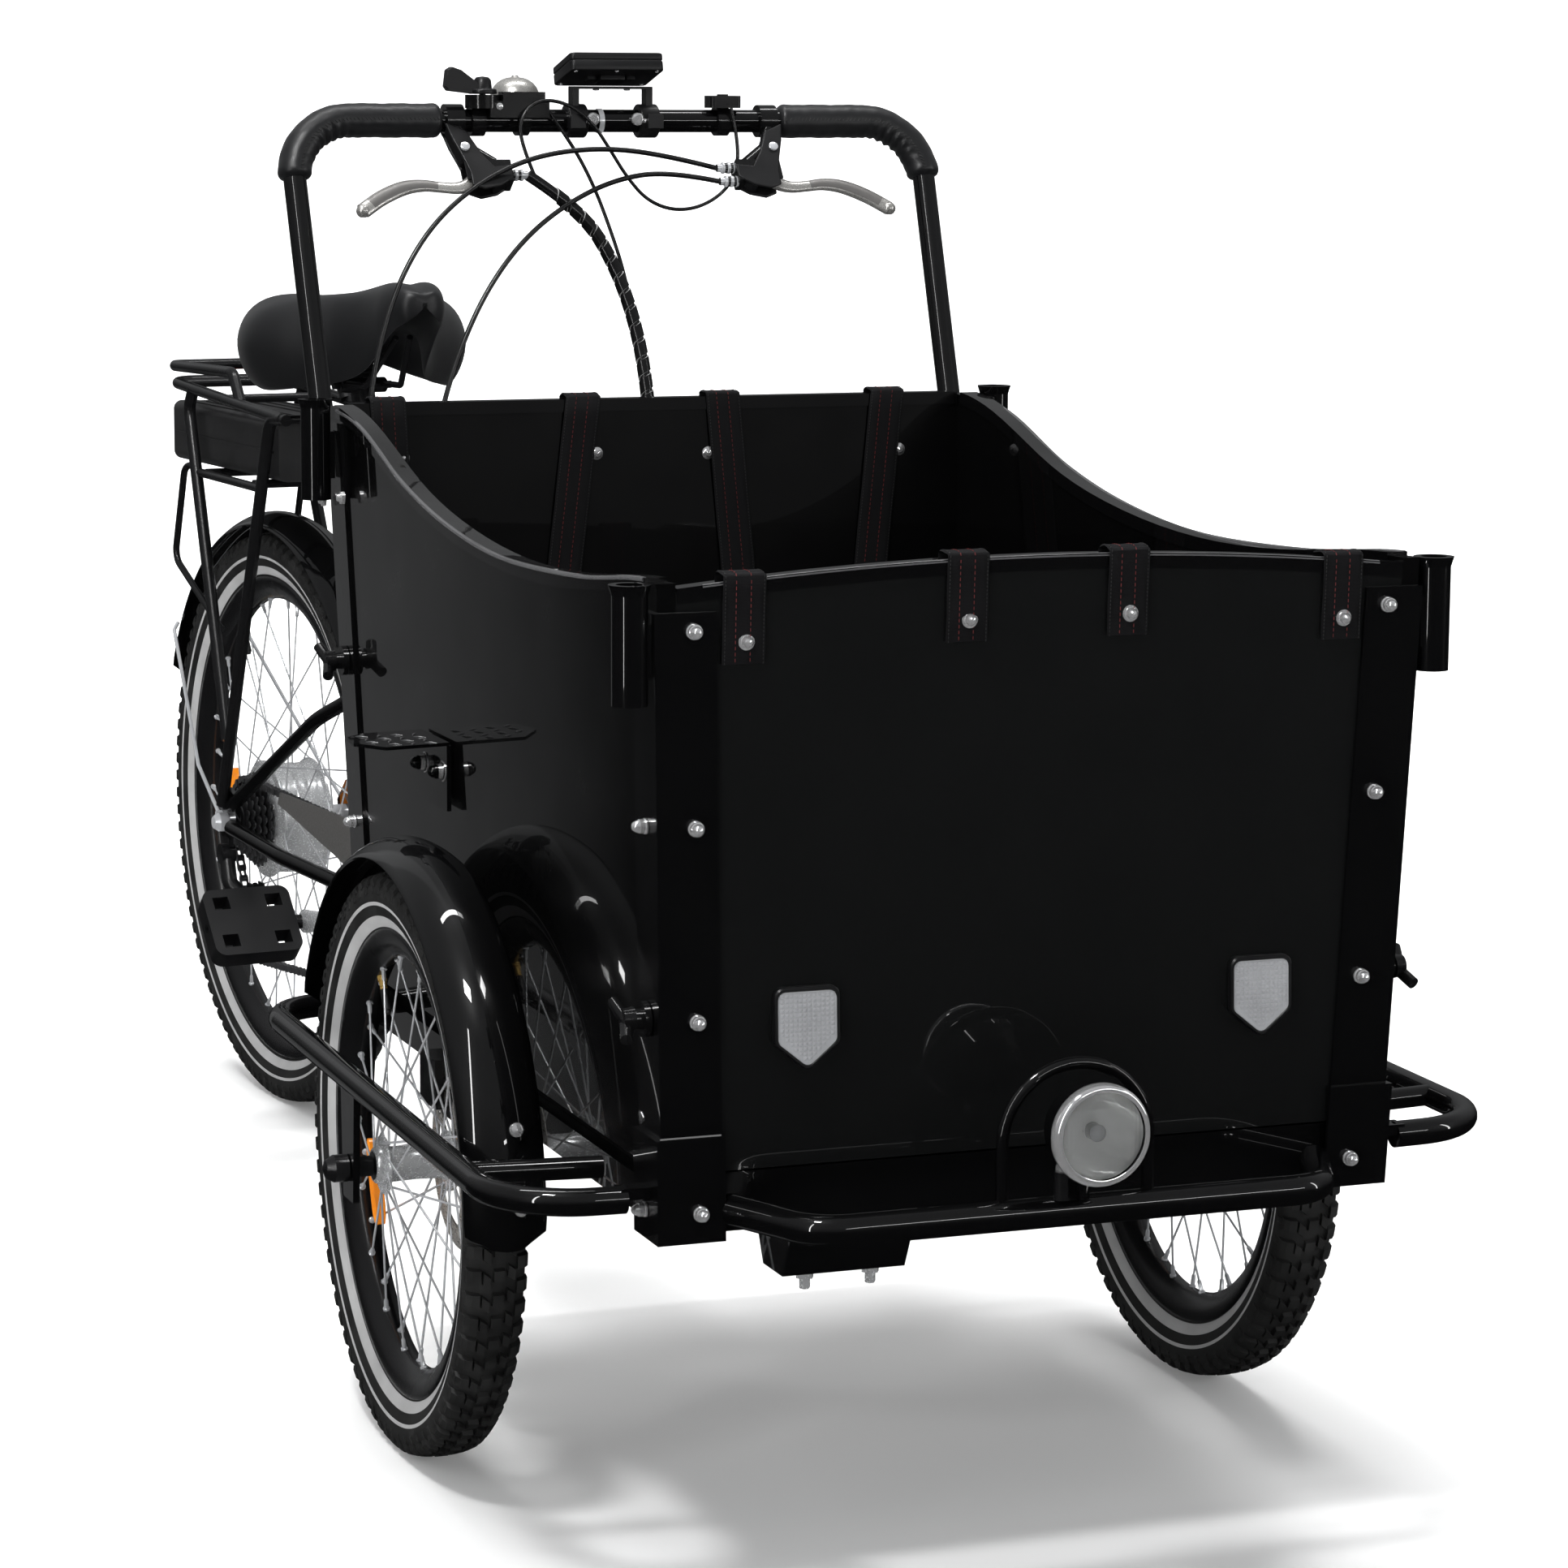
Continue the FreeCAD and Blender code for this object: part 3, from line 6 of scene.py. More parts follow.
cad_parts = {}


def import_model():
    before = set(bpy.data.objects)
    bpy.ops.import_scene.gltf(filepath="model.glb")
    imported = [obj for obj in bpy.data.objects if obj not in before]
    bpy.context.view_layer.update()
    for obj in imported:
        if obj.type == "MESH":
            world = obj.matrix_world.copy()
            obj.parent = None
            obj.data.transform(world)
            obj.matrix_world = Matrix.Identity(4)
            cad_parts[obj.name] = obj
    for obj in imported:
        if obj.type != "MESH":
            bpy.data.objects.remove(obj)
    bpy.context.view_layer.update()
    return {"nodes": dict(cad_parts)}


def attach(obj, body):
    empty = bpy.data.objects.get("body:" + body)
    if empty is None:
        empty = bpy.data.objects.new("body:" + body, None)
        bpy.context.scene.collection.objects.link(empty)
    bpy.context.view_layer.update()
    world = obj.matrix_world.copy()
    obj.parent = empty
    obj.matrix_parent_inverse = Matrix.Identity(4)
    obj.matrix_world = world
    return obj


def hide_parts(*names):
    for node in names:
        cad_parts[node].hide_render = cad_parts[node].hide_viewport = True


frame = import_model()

ORIGIN_Y = 1.0554          # row y of a point is its distance behind the box's front face less this
TURN = math.radians(6.0)   # the rear unit stands turned about the steering pivot
PIVOT_Y = 600.0
nodes = frame["nodes"]


def at(x, y, z):
    """Point given in mm in the box's own frame, y measured from its front face."""
    return Vector((x / 1000, y / 1000 - ORIGIN_Y, z / 1000))


def at_rear(x, y, z):
    """Point given in mm on the straight rear unit, swung to where it stands."""
    c, s = math.cos(TURN), math.sin(TURN)
    return at(x * c - (y - PIVOT_Y) * s, PIVOT_Y + x * s + (y - PIVOT_Y) * c, z)


# ---------------------------------------------------------------- materials
def node_tree(name):
    m = bpy.data.materials.new(name)
    m.use_nodes = True
    return m, m.node_tree.nodes, m.node_tree.links, m.node_tree.nodes["Principled BSDF"]


def texture(nds, lks, kind, scale, stretch=None, **inputs):
    """Procedural texture in the object's own coordinates."""
    coord = nds.new("ShaderNodeTexCoord")
    tex = nds.new(kind)
    source = coord.outputs["Object"]
    if stretch:
        mapping = nds.new("ShaderNodeMapping")
        mapping.inputs["Scale"].default_value = stretch
        lks.new(source, mapping.inputs["Vector"])
        source = mapping.outputs["Vector"]
    lks.new(source, tex.inputs["Vector"])
    tex.inputs["Scale"].default_value = scale
    for key, value in inputs.items():
        tex.inputs[key].default_value = value
    return tex


def ramp(nds, lks, source, stops, target):
    """Drives the target socket from source through (position, grey or colour) stops."""
    r = nds.new("ShaderNodeValToRGB")
    lks.new(source, r.inputs["Fac"])
    while len(r.color_ramp.elements) < len(stops):
        r.color_ramp.elements.new(0.5)
    for element, (pos, value) in zip(r.color_ramp.elements, stops):
        element.position = pos
        element.color = (value, value, value, 1) if isinstance(value, (int, float)) else (*value, 1)
    lks.new(r.outputs["Color"], target)


def bump(nds, lks, shader, height, strength, distance):
    b = nds.new("ShaderNodeBump")
    b.inputs["Strength"].default_value = strength
    b.inputs["Distance"].default_value = distance
    lks.new(height, b.inputs["Height"])
    lks.new(b.outputs["Normal"], shader.inputs["Normal"])


def paint(name, color, rough, coat, gloss=0.02, grain=900.0, depth=0.00004):
    """Lacquered metal: clear coat over a base with faint orange peel and uneven gloss."""
    m, nds, lks, s = node_tree(name)
    s.inputs["Base Color"].default_value = (*color, 1)
    s.inputs["Specular IOR Level"].default_value = 0.05
    s.inputs["Coat Weight"].default_value = coat
    s.inputs["Coat Roughness"].default_value = gloss
    dust = texture(nds, lks, "ShaderNodeTexNoise", 14.0, Detail=6.0)
    ramp(nds, lks, dust.outputs["Fac"], [(0.3, rough * 0.8), (0.75, rough * 1.35)], s.inputs["Roughness"])
    peel = texture(nds, lks, "ShaderNodeTexNoise", grain, Detail=2.0)
    bump(nds, lks, s, peel.outputs["Fac"], 0.25, depth)
    return m


def plastic(name, color, rough, grain=1400.0, depth=0.00008, spec=0.5):
    m, nds, lks, s = node_tree(name)
    s.inputs["Specular IOR Level"].default_value = spec
    fac = texture(nds, lks, "ShaderNodeTexNoise", 30.0, Detail=4.0).outputs["Fac"]
    light = tuple(min(1, c * 1.25 + 0.002) for c in color)
    ramp(nds, lks, fac, [(0.3, color), (0.8, light)], s.inputs["Base Color"])
    ramp(nds, lks, fac, [(0.2, rough * 0.85), (0.8, min(1, rough * 1.15))], s.inputs["Roughness"])
    pit = texture(nds, lks, "ShaderNodeTexNoise", grain, Detail=3.0)
    bump(nds, lks, s, pit.outputs["Fac"], 0.35, depth)
    return m


def metal(name, color, rough, stretch=(1, 1, 1), depth=0.00003, metallic=0.6):
    """Metal with fine drawn lines or cast grain; the share that isn't metallic shows the bright base colour as
    diffuse light, a painted reflection of bright surroundings the mirrors don't see.
    """
    m, nds, lks, s = node_tree(name)
    s.inputs["Base Color"].default_value = (*color, 1)
    s.inputs["Metallic"].default_value = metallic
    noise = texture(nds, lks, "ShaderNodeTexNoise", 500.0, stretch=stretch, Detail=4.0)
    ramp(nds, lks, noise.outputs["Fac"], [(0.25, rough * 0.7), (0.8, rough * 1.4)], s.inputs["Roughness"])
    bump(nds, lks, s, noise.outputs["Fac"], 0.2, depth)
    return m


def leatherette(name, color):
    """Grained artificial leather: cells with soft creases between them."""
    m, nds, lks, s = node_tree(name)
    s.inputs["Base Color"].default_value = (*color, 1)
    s.inputs["Sheen Weight"].default_value = 0.04
    cells = texture(nds, lks, "ShaderNodeTexVoronoi", 900.0)
    blotch = texture(nds, lks, "ShaderNodeTexNoise", 22.0, Detail=5.0)
    ramp(nds, lks, blotch.outputs["Fac"], [(0.25, 0.34), (0.8, 0.46)], s.inputs["Roughness"])
    bump(nds, lks, s, cells.outputs["Distance"], 0.35, 0.00012)
    return m


def webbing(name, color):
    """Woven strap: fine ribs across its width and a faint weave along it."""
    m, nds, lks, s = node_tree(name)
    s.inputs["Roughness"].default_value = 0.7
    s.inputs["Specular IOR Level"].default_value = 0.2
    ribs = texture(nds, lks, "ShaderNodeTexWave", 380.0, Distortion=0.4)
    ribs.bands_direction = "Z"
    weave = texture(nds, lks, "ShaderNodeTexWave", 520.0, Distortion=0.6)
    weave.bands_direction = "X"
    mix = nds.new("ShaderNodeMath")
    mix.operation = "MULTIPLY"
    lks.new(ribs.outputs["Fac"], mix.inputs[0])
    lks.new(weave.outputs["Fac"], mix.inputs[1])
    light = tuple(c * 1.8 for c in color)
    ramp(nds, lks, mix.outputs[0], [(0.1, color), (0.9, light)], s.inputs["Base Color"])
    bump(nds, lks, s, mix.outputs[0], 0.7, 0.0004)
    return m


def lamp_glass(name):
    m, nds, lks, s = node_tree(name)
    s.inputs["Base Color"].default_value = (0.97, 0.98, 0.98, 1)
    s.inputs["Transmission Weight"].default_value = 1.0
    s.inputs["IOR"].default_value = 1.45
    haze = texture(nds, lks, "ShaderNodeTexNoise", 60.0, Detail=3.0)
    ramp(nds, lks, haze.outputs["Fac"], [(0.3, 0.02), (0.8, 0.06)], s.inputs["Roughness"])
    return m


def tread_rubber(name):
    m, nds, lks, s = node_tree(name)
    s.inputs["Specular IOR Level"].default_value = 0.35
    dust = texture(nds, lks, "ShaderNodeTexNoise", 40.0, Detail=7.0)
    tones = [(0.3, (0.009, 0.009, 0.009)), (0.75, (0.02, 0.02, 0.0195))]
    ramp(nds, lks, dust.outputs["Fac"], tones, s.inputs["Base Color"])
    ramp(nds, lks, dust.outputs["Fac"], [(0.2, 0.5), (0.8, 0.72)], s.inputs["Roughness"])
    grain = texture(nds, lks, "ShaderNodeTexNoise", 700.0, Detail=3.0)
    bump(nds, lks, s, grain.outputs["Fac"], 0.3, 0.00012)
    return m


M = {
    "black_paint": paint("black_paint", (0.002, 0.002, 0.0022), 0.3, 1.0),
    # The next two are one panel paint in two tones: the darker one on the rear and side panels is painted shade, the
    # lighter one on the front panel is painted light.
    "panel_black": paint("panel_black", (0.0012, 0.0012, 0.0013), 0.35, 0.9, grain=260.0, depth=0.00001),
    "front_black_painted_light": paint("front_black_painted_light", (0.0045, 0.0047, 0.0048), 0.35, 0.9, grain=260.0, depth=0.00001),
    "satin_black": paint("satin_black", (0.005, 0.005, 0.0055), 0.38, 0.9, gloss=0.26),
    "bench_black": plastic("bench_black", (0.0015, 0.0015, 0.0017), 0.6, spec=0.2),
    "rubber": plastic("rubber", (0.004, 0.004, 0.004), 0.5),
    # light grey on the edge beads and the step's chequer marks, whose own finish is black: painted highlight
    "trim_painted_highlight": plastic("trim_painted_highlight", (0.06, 0.06, 0.062), 0.14, grain=900.0, depth=0.00002, spec=1.0),
    "gloss_plastic": plastic("gloss_plastic", (0.003, 0.003, 0.0032), 0.16, grain=700.0, depth=0.00002),
    "tread": tread_rubber("tread"),
    # grey of the tyres' reflective stripes; on the loom wrap's band edges it is a painted highlight
    "stripe": plastic("stripe", (0.34, 0.34, 0.34), 0.35, grain=2600.0, depth=0.0001),
    "moulded": plastic("moulded", (0.004, 0.004, 0.0045), 0.38, depth=0.00003, spec=0.35),
    "cable": plastic("cable", (0.003, 0.003, 0.0033), 0.26, grain=2500.0, depth=0.00003),
    "leatherette": leatherette("leatherette", (0.0045, 0.0047, 0.0055)),
    "webbing": webbing("webbing", (0.0022, 0.0022, 0.0028)),
    "red_thread": plastic("red_thread", (0.1, 0.006, 0.006), 0.7, grain=4000.0),
    "dark_thread": plastic("dark_thread", (0.012, 0.012, 0.012), 0.6, grain=4000.0),
    "chrome": metal("chrome", (0.86, 0.86, 0.87), 0.08, metallic=0.8),
    # the lamp's mirror bowl, mostly diffuse near-white: painted reflection
    "mirror": metal("mirror", (0.95, 0.95, 0.94), 0.06, metallic=0.25),
    "alloy": metal("alloy", (0.66, 0.67, 0.68), 0.24),
    "satin_silver": metal("satin_silver", (0.5, 0.49, 0.47), 0.3, stretch=(1, 1, 6), metallic=0.8),
    "grey_alloy": metal("grey_alloy", (0.16, 0.155, 0.15), 0.4),
    "steel": metal("steel", (0.6, 0.61, 0.63), 0.2, metallic=0.5),
    "rotor": metal("rotor", (0.5, 0.48, 0.45), 0.3, stretch=(1, 0.2, 1)),
    "brass": metal("brass", (0.65, 0.42, 0.12), 0.3),
    "dark_steel": metal("dark_steel", (0.07, 0.07, 0.073), 0.35),
    "battery": plastic("battery", (0.012, 0.012, 0.0125), 0.36),
    "screen": plastic("screen", (0.012, 0.014, 0.016), 0.08, spec=0.7),
    "tail_red": plastic("tail_red", (0.35, 0.006, 0.008), 0.12, spec=0.7),
    "orange": plastic("orange", (0.85, 0.24, 0.01), 0.15, spec=0.7),
    "reflector": plastic("reflector", (0.27, 0.275, 0.285), 0.14, grain=500.0, depth=0.0006, spec=0.8),
    "lamp_glass": lamp_glass("lamp_glass"),
    "blue": plastic("blue", (0.02, 0.12, 0.25), 0.3),
}

FINISH = {
    "black_paint": ["chassis_frame", "corner_angles", "bumpers", "pole_sockets", "handlebar", "side_step",
                    "rear_frame", "headlamp_shell"],
    "front_black_painted_light": ["front_panel"],
    "panel_black": ["rear_panel", "side_panels"],
    "bench_black": ["floor_and_benches"],
    "satin_black": ["front_axles", "brake_calipers", "rear_rack", "seat_post", "derailleur"],
    "grey_alloy": ["chain_guard"],
    "moulded": ["bell_lever", "keypad_button", "pedal_left", "pedal_right"],
    "gloss_plastic": ["control_clamps", "wing_knobs"],
    "steel": ["spokes_left", "spokes_right", "spokes_rear", "rear_axle"],
    "battery": ["battery"],
    "tail_red": ["tail_light"],
}


def finish_nodes():
    for name, members in FINISH.items():
        for node in members:
            mats = nodes[node].data.materials
            mats.clear()
            mats.append(M[name])


def add(name, data):
    """New object with that data, linked to the scene."""
    obj = bpy.data.objects.new(name, data)
    bpy.context.scene.collection.objects.link(obj)
    return obj


# ---------------------------------------------------------------- mesh helpers, all in mm
SIDES = (("left", 1), ("right", -1))


def angles(count):
    return [2 * math.pi * k / count for k in range(count)]


def radial(a):
    """Unit vector in a wheel's plane, at angle a up from straight back."""
    return Vector((0, math.cos(a), math.sin(a)))


class Shape:
    """Collects points and faces in mm, each face with the index of its material."""

    def __init__(self, rear=False):
        self.place = at_rear if rear else at
        self.verts, self.faces, self.mats = [], [], []

    def grid(self, rows, around=False, along=False, mat=0):
        """Faces between rows of points; around closes each row, along joins the last row to the first."""
        base, n = len(self.verts), len(rows[0])
        for row in rows:
            self.verts += [self.place(*p) for p in row]
        for i in range(len(rows) if along else len(rows) - 1):
            for j in range(n if around else n - 1):
                a, b = base + i * n, base + (i + 1) % len(rows) * n
                k = (j + 1) % n
                self.faces.append((a + j, a + k, b + k, b + j))
                self.mats.append(mat(i, j) if callable(mat) else mat)
        return self

    def cap(self, row, mat=0):
        base = len(self.verts)
        self.verts += [self.place(*p) for p in row]
        self.faces.append(tuple(range(base, base + len(row))))
        self.mats.append(mat)
        return self

    def lathe(self, rings, centre, axis="x", steps=64, mat=0, closed=False):
        """Turns (offset, radius) points about an axis through centre; mat may depend on the ring."""
        cx, cy, cz = centre
        rows = []
        for o, r in rings:
            row = []
            for k in range(steps):
                a = 2 * math.pi * k / steps
                u, v = r * math.cos(a), r * math.sin(a)
                row.append({"x": (cx + o, cy + u, cz + v), "y": (cx + u, cy + o, cz + v),
                            "z": (cx + u, cy + v, cz + o)}[axis])
            rows.append(row)
        return self.grid(rows, around=True, along=closed, mat=mat)

    def tube(self, points, radius, steps=14, mat=0, flat=1.0, up=(0, 0, 1), caps=True):
        """Round or flattened tube along points; radius is one number or one for each point."""
        pts = [Vector(p) for p in points]
        radii = radius if isinstance(radius, (list, tuple)) else [radius] * len(pts)
        rows = []
        for i, p in enumerate(pts):
            ahead = (pts[min(i + 1, len(pts) - 1)] - pts[max(i - 1, 0)]).normalized()
            side = ahead.cross(Vector(up)).normalized()
            top = side.cross(ahead)
            row = []
            for k in range(steps):
                a = 2 * math.pi * k / steps
                row.append(tuple(p + side * (radii[i] * math.cos(a)) + top * (radii[i] * flat * math.sin(a))))
            rows.append(row)
        self.grid(rows, around=True, mat=mat)
        if caps:
            self.cap(rows[0], mat if not callable(mat) else 0)
            self.cap(rows[-1][::-1], mat if not callable(mat) else 0)
        return self

    def block(self, lo, hi, mat=0):
        (a, b, c), (d, e, f) = lo, hi
        under = [(a, b, c), (d, b, c), (d, e, c), (a, e, c)]
        self.grid([under, [(x, y, f) for x, y, z in under]], around=True, mat=mat)
        self.cap([(a, b, c), (a, e, c), (d, e, c), (d, b, c)], mat)
        return self.cap([(a, b, f), (d, b, f), (d, e, f), (a, e, f)], mat)

    def loft(self, rows, mat=0):
        """Closed body through rows of points round its outline, both ends capped."""
        self.grid(rows, around=True, mat=mat)
        self.cap(rows[0], mat)
        return self.cap(rows[-1][::-1], mat)

    def make(self, name, mats, body, slot, stands_for=(), sharp=35, bevel=0.0, smooth=0):
        mesh = bpy.data.meshes.new(name)
        mesh.from_pydata(self.verts, [], self.faces)
        for m in mats:
            mesh.materials.append(M[m])
        mesh.polygons.foreach_set("material_index", self.mats)
        bm = bmesh.new()
        bm.from_mesh(mesh)
        bmesh.ops.remove_doubles(bm, verts=bm.verts, dist=0.00002)
        bmesh.ops.recalc_face_normals(bm, faces=bm.faces)
        bm.to_mesh(mesh)
        bm.free()
        mesh.shade_smooth()
        mesh.set_sharp_from_angle(angle=math.radians(sharp))
        obj = add(name, mesh)
        if bevel:
            mod = obj.modifiers.new("edges", "BEVEL")
            mod.width = bevel / 1000
            mod.segments = 2
            mod.limit_method = "ANGLE"
            mod.angle_limit = math.radians(40)
        if smooth:
            mod = obj.modifiers.new("smooth", "SUBSURF")
            mod.levels = mod.render_levels = smooth
        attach(obj, body)
        if stands_for:
            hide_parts(*stands_for)
        return obj


def bent(points, radius, steps=8):
    """The points' polyline with each inner corner turned on an arc of that radius."""
    pts = [Vector(p) for p in points]
    out = [pts[0]]
    for i in range(1, len(pts) - 1):
        u, w = (pts[i] - pts[i - 1]).normalized(), (pts[i + 1] - pts[i]).normalized()
        half = u.angle(w) / 2
        t = radius * math.tan(half)
        a, b = pts[i] - u * t, pts[i] + w * t
        centre = pts[i] + (w - u).normalized() * (radius / math.cos(half))
        for k in range(steps + 1):
            ray = (a - centre).normalized().slerp((b - centre).normalized(), k / steps)
            out.append(centre + ray * radius)
    return out + [pts[-1]]


def hermite(points, steps=6):
    """Smooth run through points, by tangents taken from each point's neighbours."""
    pts = [Vector(p) for p in points]
    out = []
    for i in range(len(pts) - 1):
        m0 = (pts[i + 1] - pts[max(i - 1, 0)]) * (0.5 if i else 1.0)
        m1 = (pts[min(i + 2, len(pts) - 1)] - pts[i]) * (0.5 if i + 2 < len(pts) else 1.0)
        for k in range(steps):
            t = k / steps
            out.append(pts[i] * (2 * t ** 3 - 3 * t ** 2 + 1) + m0 * (t ** 3 - 2 * t ** 2 + t)
                       + pts[i + 1] * (3 * t ** 2 - 2 * t ** 3) + m1 * (t ** 3 - t ** 2))
    return out + [pts[-1]]


def spin(points, steps, cy, cz):
    """Rows of (x, radius) points swung round the axle at cy, cz for each angle of steps."""
    return [[(x, cy + r * math.cos(a), cz + r * math.sin(a)) for x, r in points] for a in steps]


# ---------------------------------------------------------------- wheels
WHEEL_X = 372.5
SPOKES = 36
TREAD_PITCH = 22.0
FRONT = dict(y=500.0, r=254.0, bead=203.0)
REAR = dict(y=1882.0, r=332.0, bead=279.5)
SIDEWALL = [(14.0, 51.0), (15.6, 50.2), (16.6, 48.6), (19.4, 43.8), (21.6, 38.8), (23.2, 34.0), (24.6, 29.6),
            (25.3, 26.4), (25.9, 22.0), (26.1, 17.0), (25.0, 12.4), (22.0, 8.6), (16.0, 5.6), (8.0, 4.4),
            (0.0, 4.2)]    # (half width, depth under the tread) from bead to crown


def tyre(name, x, wheel, body, node, rear=False):
    """Tyre with two reflective stripes a side and knobbly tread blocks."""
    y, r = wheel["y"], wheel["r"]
    half = [(a, r - d) for a, d in SIDEWALL]
    section = half + [(-a, b) for a, b in half[-2::-1]]
    turns = angles(180)
    s = Shape(rear)
    stripes = {2, 3, 6}
    last = 2 * (len(half) - 1)

    def stripe(i, j):
        return 1 if min(j, last - 1 - j) in stripes else 0
    s.grid(spin([(x + a, b) for a, b in section] + [(x - 10, r - 50), (x + 10, r - 50)], turns, y, r),
           around=True, along=True, mat=stripe)
    pitches = round(2 * math.pi * r / TREAD_PITCH)
    for k in range(pitches):
        a = 2 * math.pi * k / pitches
        w = 2 * math.pi / pitches
        for m in (-1, 1):
            b = a + (0.5 * w if m > 0 else 0.0)
            shoulder = [(m * 15.5, 6.2, 1.6), (m * 22.0, 9.0, 3.6), (m * 25.8, 13.0, 7.8)]
            wall = [(m * 25.4, 14.4, 12.2), (m * 26.4, 20.0, 18.4)]
            inner = [(m * 7.4, 4.8, 0.7), (m * 13.6, 5.8, 1.3)]
            brick(s, x, y, r, b, b + 0.62 * w, shoulder, 0.06 * w)
            brick(s, x, y, r, b + 0.1 * w, b + 0.42 * w, wall, 0.05 * w, out=m * 0.55)
            brick(s, x, y, r, b + 0.3 * w, b + 0.86 * w, inner, 0.05 * w, skew=m * 0.22 * w)
        brick(s, x, y, r, a, a + 0.56 * w, [(-4.6, 4.8, 0.35), (4.6, 4.8, 0.35)], 0.07 * w)
    return s.make(name, ["tread", "stripe"], body, "tyre_black", [node], sharp=30)


def brick(s, x, y, r, a0, a1, across, inset, skew=0.0, out=0.0):
    """Tread block between two angles; across gives (x, foot depth, top depth) points."""
    foot, top = [], []
    for i, (dx, low, high) in enumerate(across):
        lean = skew * i
        foot.append([(x + dx, r - low, a0 + lean), (x + dx, r - low, a1 + lean)])
        top.append([(x + dx + out, r - high, a0 + lean + inset), (x + dx + out, r - high, a1 + lean - inset)])

    def point(p):
        return (p[0], y + p[1] * math.cos(p[2]), r + p[1] * math.sin(p[2]))
    rows = []
    for f, t in zip(foot, top):
        rows.append([point(f[0]), point(t[0]), point(t[1]), point(f[1])])
    s.grid(rows)
    s.cap(rows[0])
    s.cap(rows[-1][::-1])


def rim(name, x, wheel, body, node, rear=False):
    """Double-walled rim with rounded shoulders."""
    y, r, b = wheel["y"], wheel["r"], wheel["bead"]
    half = [(10.0, b + 0.5), (15.2, b + 1.8), (16.6, b + 0.6), (16.8, b - 3.0), (16.0, b - 9.0),
            (13.6, b - 14.4), (9.4, b - 19.8), (5.4, b - 23.6), (2.4, b - 24.8)]
    section = half + [(-p, q) for p, q in reversed(half)]
    turns = angles(120)
    s = Shape(rear).grid(spin([(x + p, q) for p, q in section], turns, y, r), around=True, along=True)
    return s.make(name, ["satin_black"], body, "rim_black", [node], sharp=50)


def nipples(name, x, wheel, body, flange_r, flange_x, rear=False):
    """Nipple at the rim's end of each spoke, the valve, and its cap."""
    y, r, b = wheel["y"], wheel["r"], wheel["bead"]
    s = Shape(rear)
    for k, rim_a in enumerate(angles(SPOKES)):
        side = 1 if k % 2 else -1
        cross = 1 if (k // 2) % 2 else -1
        hub_a = rim_a + 0.95 * cross
        start = Vector((x + side * flange_x + 2.6 * cross, y, r)) + radial(hub_a) * flange_r
        end = Vector((x + side * 2.5, y, r)) + radial(rim_a) * (b - 24)
        back = (start - end).normalized()
        s.tube([end - back * 1.0, end + back * 2.0, end + back * 2.6, end + back * 11.0, end + back * 12.5],
               [3.2, 3.2, 2.1, 1.9, 1.3], steps=8)
    ray = radial(math.radians(54))
    c = Vector((x, y, r))
    for d0, d1, radius, mat in ((21, 29, 4.2, 1), (28, 38, 3.4, 1), (38, 58, 4.0, 2), (58, 61, 2.6, 2)):
        s.tube([c + ray * (b - d0), c + ray * (b - d1)], radius, steps=12, mat=mat, up=(1, 0, 0))
    return s.make(name, ["steel", "brass", "rubber"], body, "steel_silver")


def spoke_reflectors(name, x, wheel, body, places, rear=False):
    """Flat amber reflectors clipped between the spokes; places are (angle, radius) pairs."""
    s = Shape(rear)

    def rounded(value):
        return math.copysign(abs(value) ** 0.6, value)
    outline = [(6 * rounded(math.cos(t)), 39 * rounded(math.sin(t))) for t in angles(24)]
    for deg, radius in places:
        a = math.radians(deg)
        ray, turn = radial(a), Vector((0, -math.sin(a), math.cos(a)))
        c = Vector((x, wheel["y"], wheel["r"])) + ray * radius
        rows = []
        for dx, k in ((-5, 0.88), (-4, 1.0), (4, 1.0), (5, 0.88)):
            rows.append([tuple(c + Vector((dx, 0, 0)) + ray * (u * k) + turn * (v * k)) for u, v in outline])
        s.loft(rows)
    return s.make(name, ["orange"], body, "tail_red")


def front_hub(name, x, inner, body, node):
    """Polished shell with spoke flanges, bearing caps, and the slotted brake disc."""
    c = (x, FRONT["y"], FRONT["r"])
    s = Shape()
    half = [(38, 7), (38, 14), (36.5, 15.6), (32, 16.4), (31, 20), (30.4, 25), (29, 26), (27.4, 25), (26, 18),
            (22, 15.4)]
    s.lathe([(-o, q) for o, q in half] + [(0, 14.6)] + half[::-1], c, steps=56)
    for m in (-1, 1):
        s.lathe([(m * 38.2, 6.2), (m * 38.2, 12.4), (m * 37.0, 12.8)], c, steps=40, mat=1)
    s.make(name, ["alloy", "satin_black"], body, "silver_alloy", [node], sharp=38)
    disc(name + "_disc", x + inner * 39.0, body)


def disc(name, x, body):
    """Brake disc: a slotted ring on six swept arms."""
    radii = [62, 65.5, 68.5, 71.5, 74.5, 77.0, 80]
    count, arms, bore, boss = 120, 6, 14, 24
    s = Shape()

    def p(r, a):
        return (x, FRONT["y"] + r * math.cos(a), FRONT["r"] + r * math.sin(a))
    for i in range(len(radii) - 1):
        for k in range(count):
            if (i == 1 and k % 4 == 0) or (i == 3 and k % 4 == 2) or (i == 0 and k % 20 in (7, 8, 9, 10)):
                continue
            a0, a1 = 2 * math.pi * k / count, 2 * math.pi * (k + 1) / count
            s.grid([[p(radii[i], a0), p(radii[i], a1)], [p(radii[i + 1], a0), p(radii[i + 1], a1)]])
    for a in angles(arms):
        rows = []
        for step in range(9):
            t = step / 8
            r = 22 + 41 * t
            sweep = 0.5 * t
            half = (9.0 - 4.5 * t) / r + (0.05 if t > 0.9 else 0)
            rows.append([p(r, a + sweep - half), p(r, a + sweep + half)])
        s.grid(rows)
    turns = angles(60)
    s.grid([[p(bore, a) for a in turns], [p(boss, a) for a in turns]], around=True)
    obj = s.make(name, ["rotor"], body, "steel_silver")
    mod = obj.modifiers.new("thick", "SOLIDIFY")
    mod.thickness = 0.0018
    mod.offset = 0


